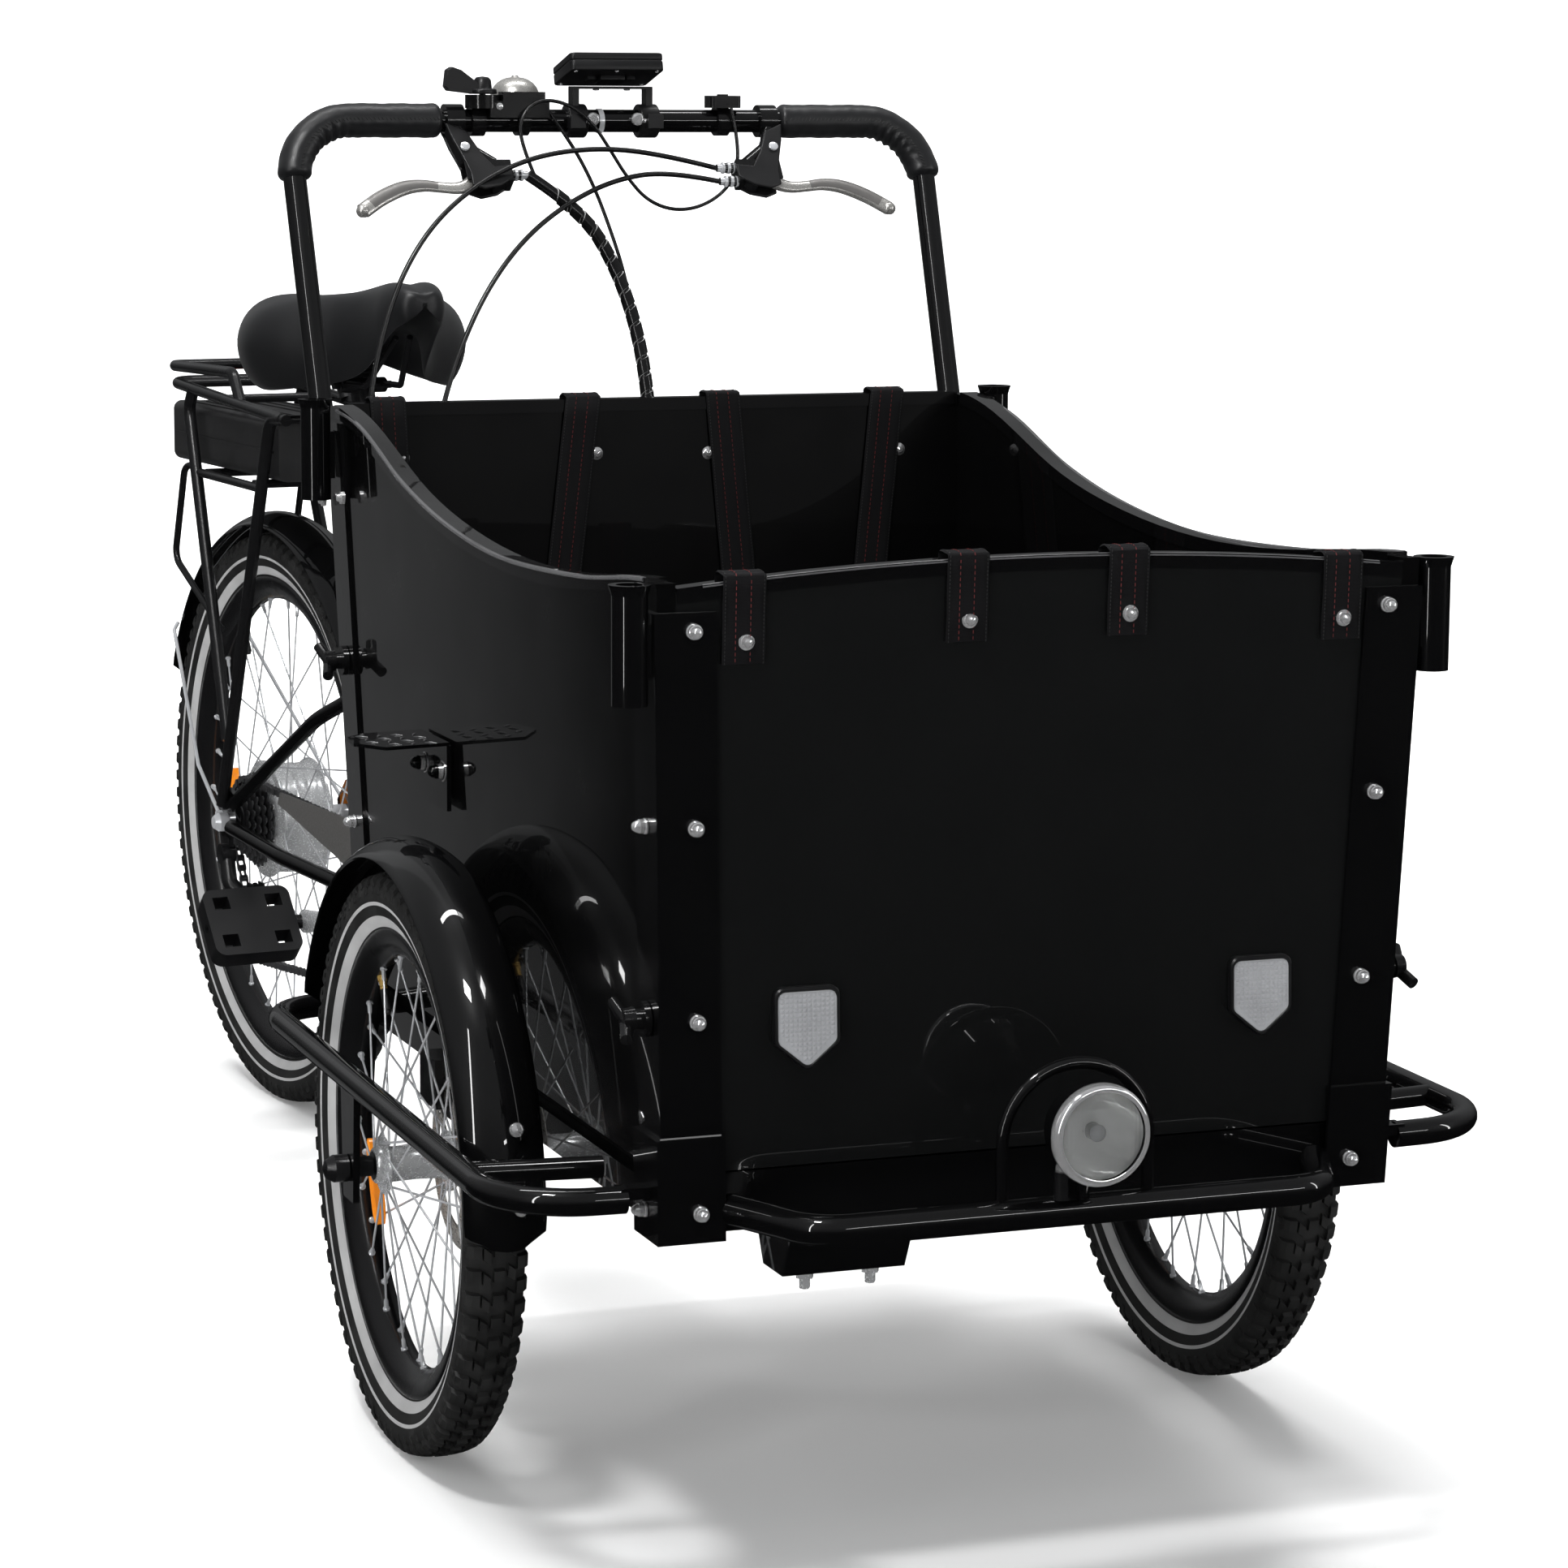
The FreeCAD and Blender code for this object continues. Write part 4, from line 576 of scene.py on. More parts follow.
def motor_hub():
    """Cast shell of the geared motor with ribbed cover and spoke flanges."""
    c = (0, REAR["y"], REAR["r"])
    s = Shape(rear=True)
    s.lathe([(-36, 10), (-36, 27), (-35, 31), (-34, 52), (-32.6, 57), (-30.4, 60), (-30.2, 66), (-29.2, 68),
             (-27, 68), (-25.8, 66), (-24, 63.4), (-8, 63), (-7, 63.6), (7, 63.6), (8, 63), (24, 63.4),
             (25.8, 66), (27, 68), (29.2, 68), (30.2, 66), (30.8, 60), (33.4, 56), (36, 44), (38.6, 32),
             (40, 28), (40, 10)], c, steps=96)
    for k in range(7):
        a = 2 * math.pi * k / 7
        y, z = c[1] + 47 * math.cos(a), c[2] + 47 * math.sin(a)
        s.lathe([(-35.6, 0.1), (-35.6, 3.4), (-33.6, 3.8), (-33, 3.8)], (0, y, z), steps=14, mat=1)
    s.make("motor_shell", ["alloy", "chrome"], "rear_wheel", "silver_alloy", ["motor_hub"], sharp=32)


def wheels():
    for side, m in SIDES:
        x, body = m * WHEEL_X, "wheel_" + side
        tyre("tyre_tread_" + side, x, FRONT, body, "tyre_" + side)
        rim("rim_ring_" + side, x, FRONT, body, "rim_" + side)
        nipples("nipples_" + side, x, FRONT, body, 21.0, 28.5)
        spoke_reflectors("amber_" + side, x, FRONT, body, [(-20, 138)])
        front_hub("hub_shell_" + side, x, -m, body, "hub_" + side)
    tyre("tyre_tread_rear", 0, REAR, "rear_wheel", "tyre_rear", rear=True)
    rim("rim_ring_rear", 0, REAR, "rear_wheel", "rim_rear", rear=True)
    nipples("nipples_rear", 0, REAR, "rear_wheel", 66.0, 28.0, rear=True)
    spoke_reflectors("amber_rear", 0, REAR, "rear_wheel", [(-2, 182)], rear=True)
    motor_hub()


# ---------------------------------------------------------------- fenders
def arch_section(x, crown, edge, w):
    """Crowned sheet section with rolled edges, as (x, radius) points round its outline."""
    outer, inner = [], []
    for k in range(15):
        t = -1 + 2 * k / 14
        drop = (crown - edge) * t * t
        outer.append((x + w * t, crown - drop))
        inner.append((x + (w - 1.6) * t, crown - 1.9 - drop))
    roll = 1.3
    lip = ((0.2, 1), (-1, 2), (-2, 1))
    left = [(x - w - roll * out, edge - down * roll) for out, down in lip]
    right = [(x + w + roll * out, edge - down * roll) for out, down in lip[::-1]]
    return outer + right[::-1] + inner[::-1] + left[::-1]


def fender(name, x, y, z, crown, edge, w, start, end, body, stands_for, rear=False):
    """Fender whose two ends are drawn in to rounded tips."""
    s = Shape(rear)
    rows = []
    steps = 72
    for k in range(steps + 1):
        t = k / steps
        a = math.radians(start + (end - start) * t)
        near = min(t, 1 - t) * abs(end - start) * math.pi / 180 * crown
        pinch = math.sqrt(max(0.0, 1 - (1 - min(1.0, near / 16)) ** 2)) * 0.45 + 0.55
        rows.append([(x + (p - x) * pinch, y + q * math.cos(a), z + q * math.sin(a))
                     for p, q in arch_section(x, crown, edge, w)])
    s.loft(rows)
    return s.make(name, ["black_paint"], body, "black_paint", stands_for, sharp=50)


def fenders():
    for side, m in SIDES:
        fender("front_fender_" + side, m * WHEEL_X, FRONT["y"], FRONT["r"], 284, 268, 35, 21.0, 182.0,
               "box_unit", ["front_fenders"])
        s = Shape()
        for deg in (162.0, 175.0):
            ray = radial(math.radians(deg))
            c = Vector((m * 364.0, FRONT["y"], FRONT["r"]))
            s.tube([c + ray * 283.6, c + ray * 285.4, c + ray * 287.4, c + ray * 288.4], [6.0, 6.0, 4.6, 1.6],
                   steps=18, up=(1, 0, 0))
        s.make("fender_screws_" + side, ["chrome"], "box_unit", "zinc_nuts")
    fender("rear_fender_sheet", 0, REAR["y"], REAR["r"], 356, 342, 33, 23.0, 156.0, "rear_unit",
           ["rear_fender"], rear=True)
    s = Shape(rear=True)
    for m in (-1, 1):
        wire = [(m * 78.4, 1900, 338), (m * 74, 1984, 384), (m * 44, 2152, 524), (m * 36.5, 2160, 531)]
        s.tube(bent(wire, 8), 2.2, steps=10)
        s.lathe([(-3, 0.1), (-3, 6), (3, 6), (3, 0.1)], (m * 79, 1899, 337), steps=12)
    s.make("fender_wires", ["steel"], "rear_unit", "steel_silver")


# ---------------------------------------------------------------- straps
PANEL_LOW, PANEL_TALL = 294.0, 495.0
SLOPE_REAR, SLOPE_FRONT = 40.0 / PANEL_TALL, -23.0 / PANEL_TALL
PANEL_THICK = 15.0
REAR_STRAPS = ((-272, 8, 13), (-79, -38, 60), (63, 18, 60), (234, -34, 60))
FRONT_STRAPS = ((-253, 12, 67), (-70, 6, 67), (66, -6, 67), (253, -12, 67))


def front_y(z):
    """Outer face of the front panel at height z; it leans forward towards its top."""
    return 23.0 * (PANEL_LOW + PANEL_TALL - z) / PANEL_TALL


def rear_y(z):
    """Outer face of the rear panel at height z."""
    return 905.0 + 40.0 * (z - PANEL_LOW) / PANEL_TALL


def half_width(z):
    """Half of the box's outer width at height z."""
    return 311.0 + 14.0 * (z - PANEL_LOW) / PANEL_TALL


def front_top(x):
    """Height of the front panel's arched top edge."""
    return 798.0 + 20.0 * (1 - (x / 340.0) ** 2)


def strap(name, x, slant, top, y_in, y_out, slope, inside, outside):
    """Folded webbing over a panel's top: a ribbed band with rolled edges and two stitched lines."""
    away = 1 if y_out > y_in else -1
    line = []
    for k in range(15):
        t = 1 - k / 14
        line.append((slant * t, y_in - slope * inside * t, top - inside * t))
    reach = abs(y_out - y_in) / 2
    for k in range(1, 8):
        a = math.pi * k / 8
        line.append((0, (y_in + y_out) / 2 - away * reach * math.cos(a), top + 2.6 * math.sin(a)))
    for k in range(7):
        t = k / 6
        line.append((0, y_out - slope * outside * t, top - outside * t))
    pts = [Vector((x + dx, y, z)) for dx, y, z in line]
    rows, frames = [], []
    half, thick = 17.4, 0.9
    section = [(-half, 0.0), (-half + 1.2, thick), (-9, thick * 0.8), (9, thick * 0.8), (half - 1.2, thick),
               (half, 0.0), (half - 1.2, -thick), (0, -thick), (-half + 1.2, -thick)]
    for i, p in enumerate(pts):
        ahead = (pts[min(i + 1, len(pts) - 1)] - pts[max(i - 1, 0)])
        normal = Vector((0, -ahead.z, ahead.y)).normalized() * away
        frames.append((p, normal))
        wave = 0.5 * math.sin(i * 1.3 + x)
        rows.append([tuple(p + Vector((u, 0, 0)) + normal * (v + wave)) for u, v in section])
    s = Shape().loft(rows)
    for offset, pitch, mat in ((-7.0, 4.6, 1), (5.0, 4.6, 1), (-15.6, 3.0, 2), (15.6, 3.0, 2)):
        stitches(s, frames, offset, pitch, mat, thick)
    s.make(name, ["webbing", "red_thread", "dark_thread"], "box_unit", "webbing", ["harness_straps"], sharp=50)


def stitches(s, frames, offset, pitch, mat, thick):
    """Short raised threads laid along a strap, on the side that faces away from the panel."""
    travelled, due = 0.0, 0.0
    for (p, n), (q, m) in zip(frames, frames[1:]):
        run = (q - p).length
        while due < travelled + run - 1.0:
            t = (due - travelled) / run
            a = p.lerp(q, t) + Vector((offset, 0, 0)) + n.lerp(m, t).normalized() * (thick + 0.25)
            b = a + (q - p).normalized() * pitch * 0.55
            s.tube([a, b], 0.32, steps=5, mat=mat, up=(1, 0, 0))
            due += pitch
        travelled += run


def straps():
    over = PANEL_THICK + 4.6    # from a strap's inner run to its outer run, across the panel and its trim
    top = 882.0
    inner = rear_y(top) - 3.0 - PANEL_THICK - 1.8
    for i, (x, slant, outside) in enumerate(REAR_STRAPS):
        strap("strap_rear_%d" % (i + 1), x, slant, top, inner - 1.0, inner + over, SLOPE_REAR, 270, outside)
    s = Shape()
    outer_nut = [(-9.6, 0.1), (-9.0, 2.4), (-6.8, 4.2), (-4.6, 4.8), (-2.6, 4.8), (-2.4, 6.6), (-1.4, 6.8),
                 (-1.4, 0.1)]
    inner_nut = [(-20.0, 0.1), (-19.4, 3.0), (-17.6, 4.6), (-16.8, 6.2), (-16.4, 6.2)]
    for i, (x, slant, outside) in enumerate(FRONT_STRAPS):
        top = front_top(x) + 5.6
        outer = front_y(top) + 3.0 - 1.8
        strap("strap_front_%d" % (i + 1), x, slant, top, outer + over, outer - 1.0, SLOPE_FRONT, 200, outside)
        z = top - 50.0
        s.lathe(outer_nut, (x + 2, front_y(z) + 1.4, z), "y", steps=18)
    for x, z in ((-258, 828), (-66, 828), (47, 826), (246, 825)):
        s.lathe(inner_nut, (x, rear_y(z) - 2, z), "y", steps=16)
    s.make("strap_nuts", ["chrome"], "box_unit", "zinc_nuts", sharp=30)


# ---------------------------------------------------------------- box trim
SIDE_TOP = [(965, 877), (840, 864), (700, 824), (560, 799), (400, 787), (200, 793), (60, 806), (-10, 809)]


def edge_beads():
    """Round welts along the outer edge of the sides' top trims and of the front panel's trim, light grey as a
    painted highlight line along the edge.
    """
    s = Shape()
    for m in (-1, 1):
        line = []
        for p in hermite([(0, y, z) for y, z in SIDE_TOP], 8):
            if 28 < p.y < 922:
                line.append((m * (half_width(p.z) - 2.6), p.y, p.z + 1.6))
        s.tube(line, 2.1, steps=10)
    line = []
    for k in range(41):
        x = -286 + 572 * k / 40
        z = front_top(x) + 1.6
        line.append((x, front_y(z) + 3.4, z))
    s.tube(line, 2.0, steps=10)
    s.make("edge_beads", ["trim_painted_highlight"], "box_unit", "black_paint")
    s = Shape()
    flat_nut = [(0, 0.1), (0, 6.0), (-3.4, 6.0), (-3.8, 4.2), (-6.6, 3.0), (-7.4, 0.1)]
    for y, z in ((880, 797), (948, 789)):
        s.lathe(flat_nut, (-329.5, y, z), steps=18)
    s.make("corner_nuts", ["chrome"], "box_unit", "zinc_nuts", sharp=30)
    s = Shape()
    bolt = [(0, 9), (-2, 9), (-2, 7.4), (-9, 7.4), (-9, 4.6), (-17, 4.6), (-18, 3.6), (-18, 0.1)]
    for x in (-172.0, -116.0):
        s.lathe(bolt, (x, 76, 250), "z", steps=6)
    s.make("bracket_bolts", ["alloy"], "box_unit", "zinc_nuts", sharp=30)


LEAN_GAP, NUT_PITCH = 0.6, 152.0
NUT = [(0, 0.1), (0, 6.3), (1.3, 6.3), (1.3, 5.6), (5.6, 5.6), (6.2, 4.8), (8.2, 4.4), (10.0, 3.4), (11.2, 1.8),
       (11.6, 0.1)]


def nut(s, x, y, z, axis, sign):
    s.lathe([(sign * o, r) for o, r in NUT], (x, y, z), axis, steps=18)


def panel_nuts():
    """Small domed nuts down both legs of each corner angle."""
    s = Shape()
    for m in (-1, 1):
        for k in range(4):
            for lowest, face, away, on_side in ((316.0, front_y, -1, (0, 2)), (337.0, rear_y, 1, (0, 1))):
                z = lowest + NUT_PITCH * k
                w, proud = half_width(z), LEAN_GAP + (4.0 if z < 376 else 0.0)
                nut(s, m * (w - 31), face(z) + away * proud, z, "y", away)
                if k in on_side:
                    nut(s, m * (w + proud), face(z) - away * 24, z, "x", m)
    s.make("panel_nuts", ["chrome"], "box_unit", "zinc_nuts", ["panel_fasteners"], sharp=30)


# ---------------------------------------------------------------- lamp and reflectors
LAMP_Y, LAMP_Z = -112.0, 385.0
REFLECTOR_X, REFLECTOR_Z = 195, 457


def headlamp():
    c = (0, LAMP_Y, LAMP_Z)
    s = Shape()
    rim_ring = [(-3.4, 34.6), (-4.2, 36.6), (-3.2, 38.8), (0.6, 40.4), (6.0, 40.6), (7.0, 39.9), (7.0, 38.8)]
    mirror = [(4, 34.9), (8, 33.2), (18, 28.6), (30, 20.4), (38, 11.5), (41, 4.0), (41.4, 0.1)]
    bulb = [(16, 0.1), (16.6, 3.6), (19, 5.8), (22, 6.4), (26, 5.6), (28, 4.2), (40, 4.2)]
    s.lathe(rim_ring, c, "y", steps=96)
    s.lathe(mirror, c, "y", steps=72, mat=1)
    s.lathe(bulb, c, "y", steps=32, mat=2)
    s.make("lamp_ring", ["chrome", "mirror", "reflector"], "box_unit", "chrome_lamp", sharp=60)
    glass = Shape()
    rows_front, rows_back = [], []
    radius = 34.7
    for i in range(61):
        x = radius * math.sin(math.pi / 2 * (-1 + 2 * i / 60))
        chord = math.sqrt(max(0.0, radius ** 2 - x * x))
        front, back = [], []
        for j in range(21):
            z = chord * (-1 + 2 * j / 20)
            dome = -3.4 * (1 - (x * x + z * z) / radius ** 2)
            flute = 0.35 * math.cos(2 * math.pi * x / 3.6)
            front.append((x, LAMP_Y + dome - 0.4, LAMP_Z + z))
            back.append((x, LAMP_Y + dome + 1.7 + flute, LAMP_Z + z))
        rows_front.append(front)
        rows_back.append(back)
    glass.grid(rows_front)
    glass.grid(rows_back)
    glass.make("lamp_lens", ["lamp_glass"], "box_unit", "lamp_glass", ["headlamp_lens"], sharp=80)
    s = Shape()
    s.tube([(-14, -68, 326), (-14, -69, 348)], [6.5, 6.0], steps=16, up=(1, 0, 0))
    s.tube([(2, -72, 330), (3, -78, 350)], 3.4, steps=8, mat=1, up=(1, 0, 0))
    s.lathe([(-4, 0.1), (-4, 4), (4, 4), (4, 0.1)], (-14, -69, 350), "x", steps=12, mat=1)
    s.make("lamp_stem", ["satin_black", "chrome"], "box_unit", "black_paint", sharp=40)


def reflectors():
    """Pentagon reflectors with a black rim and a raised lens of square prisms."""
    for side, m in SIDES:
        s = Shape()
        outline = [(-27, 33), (27, 33), (27, -11), (0, -33), (-27, -11)]

        def leaned(u, v, lift):
            """Point u across and v up from the reflector's middle, lift in front of the panel."""
            return (m * REFLECTOR_X + u, front_y(REFLECTOR_Z) + 3.0 - v * SLOPE_FRONT - lift, REFLECTOR_Z + v)

        def ring(scale, lift):
            corners = [(u * scale, 0, v * scale) for u, v in outline + outline[:2]]
            return [leaned(p.x, p.z, lift) for p in bent(corners, 7.0 * scale, 4)[1:-1]]
        rings = [ring(1.0, 0.2), ring(1.0, 6.0), ring(0.97, 7.4), ring(0.92, 7.4), ring(0.9, 6.4)]
        s.grid(rings, around=True, mat=0)
        s.cap(rings[-1], mat=1)
        for i in range(-6, 6):
            for j in range(-7, 8):
                u, v = i * 3.8 + 1.9, j * 3.8
                if v < -25 + abs(u) * 0.85 or v > 27 or abs(u) > 22:
                    continue
                x, y, z = leaned(u, v, 6.4)
                base = [(x + a * 1.9, y, z + b * 1.9) for a, b in ((-1, -1), (1, -1), (1, 1), (-1, 1))]
                s.grid([base, [(x, y - 1.0, z)] * 4], around=True, mat=1)
        s.make("reflector_lens_" + side, ["moulded", "reflector"], "box_unit", "reflector_white",
               ["front_reflectors"], sharp=25)


# ---------------------------------------------------------------- handlebar and controls
BAR_Y, BAR_Z = 1087.0, 1142.0


def resample(points, gap):
    """Points at an even spacing along a polyline."""
    out, left = [Vector(points[0])], gap
    for p, q in zip(points, points[1:]):
        run = (Vector(q) - Vector(p)).length
        done = 0.0
        while run - done >= left:
            done += left
            out.append(Vector(p).lerp(Vector(q), done / run))
            left = gap
        left -= run - done
    return out


def grips():
    """Stitched leatherette sleeves, wrinkled on the inner side of the bar's bend."""
    foot = Vector((-322.0, 978.0, 850.0))
    corner = Vector((-326.0, BAR_Y, BAR_Z))
    low = corner + (foot - corner) * ((BAR_Z - 1085.0) / (BAR_Z - foot.z))
    for side, m in (("left", -1), ("right", 1)):
        path = resample(bent([(-175, BAR_Y, BAR_Z), corner, low], 60.0, 16), 2.0)
        n = len(path)
        s = Shape()
        rows = []
        for i, p in enumerate(path):
            ahead = (path[min(i + 1, n - 1)] - path[max(i - 1, 0)]).normalized()
            inward = Vector((0.55, -0.3, -0.75))
            inward = (inward - ahead * inward.dot(ahead)).normalized()
            across = ahead.cross(inward)
            t = i / (n - 1)
            creased = math.exp(-((t - 0.66) / 0.16) ** 2)
            hem = min(1.0, min(i, n - 1 - i) / 2.5)
            row = []
            for k in range(36):
                a = 2 * math.pi * k / 36
                fold = 1.3 * math.sin(i * 1.15 + 1.3 * math.sin(2 * a)) - 0.7
                crease = max(0.0, math.cos(a)) ** 0.7 * creased * fold
                pull = 0.22 * math.sin(0.35 * i + 2.3 * math.sin(a)) + 0.12 * math.sin(0.9 * i - 3 * a)
                seam = -0.8 * math.exp(-((a - math.pi * 0.42) / 0.1) ** 2)
                r = 11.3 + (5.2 + crease + pull + seam) * math.sqrt(hem)
                p2 = p + inward * (r * math.cos(a)) + across * (r * math.sin(a))
                row.append((m * p2.x, p2.y, p2.z))
            rows.append(row)
        s.grid(rows, around=True)
        for i in range(2, n - 3, 2):
            for j in (1, 2):
                a = math.pi * (0.42 + 0.024 * (j * 2 - 3))
                k = a / (2 * math.pi) * 36
                q0, q1 = Vector(rows[i][int(k)]), Vector(rows[i + 1][int(k) + 1])
                out = (q0 - Vector((m * path[i].x, path[i].y, path[i].z))).normalized() * 0.5
                s.tube([q0 + out, q1 + out], 0.35, steps=5, mat=1, up=(0.3, 0.2, 1))
        piece = s.make("grip_sleeve_" + side, ["leatherette", "dark_thread"], "box_unit", "leatherette", ["grips"],
                       sharp=60)


LEVER_AT, LEVER_UP = Vector((-150.0, 1046.0, 1090.0)), Vector((0.0, 0.593, 0.805))


def lever_point(side, a, b, c=0.0):
    """Point in the brake lever's own axes: outwards, towards the bar, and along its pivot."""
    across = Vector((-1, 0, 0)).cross(LEVER_UP)
    p = LEVER_AT + Vector((-a, 0, 0)) + LEVER_UP * b + across * c
    return Vector((-p.x if side > 0 else p.x, p.y, p.z))


def brake_levers():
    """Cast two-finger levers with a grey insert and a bulb at the tip, and their barrel adjusters."""
    across = Vector((-1, 0, 0)).cross(LEVER_UP)
    for name, side in SIDES:
        line = hermite([(0, -3, 0), (9, -11, 0), (22, -15, 0), (38, -14, 0), (56, -12, 0), (76, -15, 0),
                        (99, -26, 0), (120, -41, 0)], 5)
        pts = [lever_point(side, p.x, p.y) for p in line]
        n = len(pts)
        radii = []
        for i in range(n):
            t = i / (n - 1)
            radii.append(8.2 - 2.2 * math.sin(math.pi * min(1, t * 1.2)) ** 2)

        def insert(i, j):
            return 1 if 0.42 < i / n < 0.9 and j in (10, 11, 12, 13) else 0
        s = Shape()
        s.tube(pts, radii, steps=16, flat=0.55, up=tuple(across), mat=insert)
        tip = pts[-1]
        rows = []
        for j in range(1, 8):
            a = math.pi * j / 8
            u, v, w = 7.0 * math.sin(a), 6.2 * math.sin(a), 6.6 * math.cos(a)
            rows.append([tuple(tip + Vector((u * math.cos(b), v * math.sin(b), w))) for b in angles(14)])
        s.loft(rows)
        s.tube([lever_point(side, 0, 0, -6.2), lever_point(side, 0, 0, 6.2)], 8.0, steps=22, up=(0, 1, 0))
        s.make("lever_blade_" + name, ["satin_silver", "grey_alloy"], "brake_lever_" + name, "silver_alloy",
               ["brake_lever_" + name], sharp=50)
    s = Shape()
    reach = (33, 35, 35.4, 38, 38.4, 41, 41.4, 44, 44.6, 46.5, 47, 51.6)
    radii = [5.0, 5.6, 5.0, 5.0, 5.6, 5.6, 5.0, 5.0, 5.6, 5.6, 3.9, 3.9]
    for side, offsets in ((-1, (0,)), (1, (-8, 8))):
        for b in offsets:
            s.tube([lever_point(side, -a, b) for a in reach], radii, steps=20, up=(0, 0, 1))
        s.tube([lever_point(side, 9, 27, c) for c in (-9.6, -11.4, -11.8)], [4.6, 4.6, 3.8],
               steps=20, up=(1, 0, 0))
        s.tube([lever_point(side, -20, 6, -4), lever_point(side, -29, 9, -4)], 1.4, steps=10, mat=1)
    s.make("barrel_adjusters", ["steel", "blue"], "box_unit", "steel_silver", sharp=40)
    for name, side in SIDES:
        brake_body(name, side)


CHEEK = [(24, 56), (4, 46), (-6, 22), (-17, 5), (-34, 7), (-35, -8), (-20, -18), (-3, -22), (9, -17), (9, -2),
         (14, 17), (20, 36)]


def brake_body(name, side):
    """Cast bracket: a neck from the bar clamp that widens to two cheeks with the lever between them."""
    s = Shape()

    def plate(outline, c0, c1):
        s.loft([[tuple(lever_point(side, a, b, c)) for a, b in outline] for c in (c0, c1)])
    plate(CHEEK, -9.6, -6.7)
    plate(CHEEK, 6.7, 9.6)
    plate([(22, 54), (5, 45), (-5, 22), (-9, 14), (13, 14), (18, 34)], -6.9, 6.9)
    plate([(-18, 4), (-33, 6), (-34, -7), (-20, -16), (-14, -17)], -6.9, 6.9)
    s.make("brake_body_" + name, ["moulded"], "box_unit", "matt_black_plastic", bevel=1.6)


def shifter_paddle():
    """Broad thumb paddle with rounded edges on the ring that turns on the shifter's post."""
    cx, cy, cz = -134.0, BAR_Y - 9, BAR_Z + 25.5
    outline = [(9, 0), (9, 4), (-4, 9), (-23, 23), (-32, 26), (-37, 23), (-39, 7), (-36, 3), (-10, 0)]
    s = Shape()
    ring = [(0.2, 3.4), (0.2, 13.4), (1.0, 14.2), (4.2, 14.2), (5.2, 13.2), (5.4, 9.4), (13.6, 8.4),
            (16.4, 6.0), (17.2, 0.1)]
    s.lathe(ring, (cx, cy, cz), "z", steps=40)
    s.loft([[(cx + dx, cy + dy, cz + 0.2 + dz) for dx, dz in outline] for dy in (-7, 5)])
    s.make("shifter_paddle", ["moulded"], "shifter_lever", "matt_black_plastic", ["shifter_lever"], bevel=1.8)
    s = Shape()
    screw = [(0, 0.1), (0, 3.0), (-1.6, 3.4), (-2.2, 2.4), (-2.2, 0.1)]
    s.lathe(screw, (-121, 1064.4, BAR_Z + 14), "y", steps=18)
    s.make("shifter_screw", ["chrome"], "box_unit", "steel_silver")


def display():
    """Slim display turned up to the rider, its bridge on two hinged clamps, and the clamp screws."""
    tilt = math.radians(15)
    c, d = math.cos(tilt), math.sin(tilt)

    def leaned(x, y, z):
        return (x, BAR_Y + 7 + y * c + z * d, BAR_Z + 49 - y * d + z * c)

    def slab(s, w, d, z0, z1, mat, r=5.0, cx=0.0, cy=0.0):
        outline = bent([(0, -d, 0), (w, -d, 0), (w, d, 0), (-w, d, 0), (-w, -d, 0), (0, -d, 0)], r, 4)[1:-1]
        rows = [[leaned(cx + p.x * k, cy + p.y * k, z) for p in outline]
                for z, k in ((z0, 0.985), (z0 + 0.8, 1.0), (z1 - 0.8, 1.0), (z1, 0.985))]
        s.loft(rows, mat)
    s = Shape()
    slab(s, 48, 31, -7.5, 2.6, 0)
    slab(s, 47.3, 30.3, 2.6, 3.2, 0)
    slab(s, 48, 31, 3.2, 10.0, 0)
    slab(s, 41, 22, 10.0, 10.4, 1, 3.0, cy=-4)
    slab(s, 13, 11, -12.5, -7.5, 0, 2.0, cy=-2)
    for x in (-20, 20):
        slab(s, 5, 5, -11.0, -7.5, 0, 2.0, cx=x, cy=-3)
    for x in (-18, -6, 6, 18):
        slab(s, 4, 2.4, 10.0, 11.0, 0, 2.0, cx=x, cy=24)
    for x, y in ((-42, -25), (42, -25), (-42, 25), (42, 25), (0, -26)):
        slab(s, 1.8, 1.8, -7.9, -7.5, 2, 1.2, cx=x, cy=y)
    s.block((-41, BAR_Y - 8, BAR_Z + 31), (41, BAR_Y + 8, BAR_Z + 33.6))
    for x in (-16, 16):
        s.lathe([(-1.6, 0.1), (-1.4, 3.0), (0, 3.4), (0, 0.1)], (x, BAR_Y - 3, BAR_Z + 31), "z",
                steps=16, mat=2)
    for m in (-1, 1):
        s.block((m * 38 - 3.5, BAR_Y - 7, BAR_Z + 13), (m * 38 + 3.5, BAR_Y + 7, BAR_Z + 33))
        s.lathe([(-10, 11.3), (-10, 15.6), (-9, 16.5), (9, 16.5), (10, 15.6), (10, 11.3)],
                (m * 37, BAR_Y, BAR_Z), steps=48, closed=True)
        s.block((m * 40 - 8, BAR_Y - 22, BAR_Z - 7), (m * 40 + 8, BAR_Y - 9, BAR_Z + 7))
        s.lathe([(-19, 0.1), (-19, 4.6), (-17.6, 6.2), (-14, 6.4), (-12, 5.4), (-12, 0.1)],
                (m * 23, BAR_Y, BAR_Z + 2), "y", steps=20, mat=2)
        s.tube([(m * 23, BAR_Y - 14, BAR_Z + 2), (m * 32, BAR_Y - 15, BAR_Z)], 2.6, steps=10, mat=2)
    s.make("display_unit", ["moulded", "screen", "chrome"], "box_unit", "matt_black_plastic", ["display_console"],
           sharp=40, bevel=0.7)
    s = Shape()
    s.lathe([(-2.5, 11.2), (-2.5, 11.9), (2.5, 11.9), (2.5, 11.2)], (-12, BAR_Y, BAR_Z), steps=48)
    s.make("bar_band", ["steel"], "box_unit", "steel_silver")


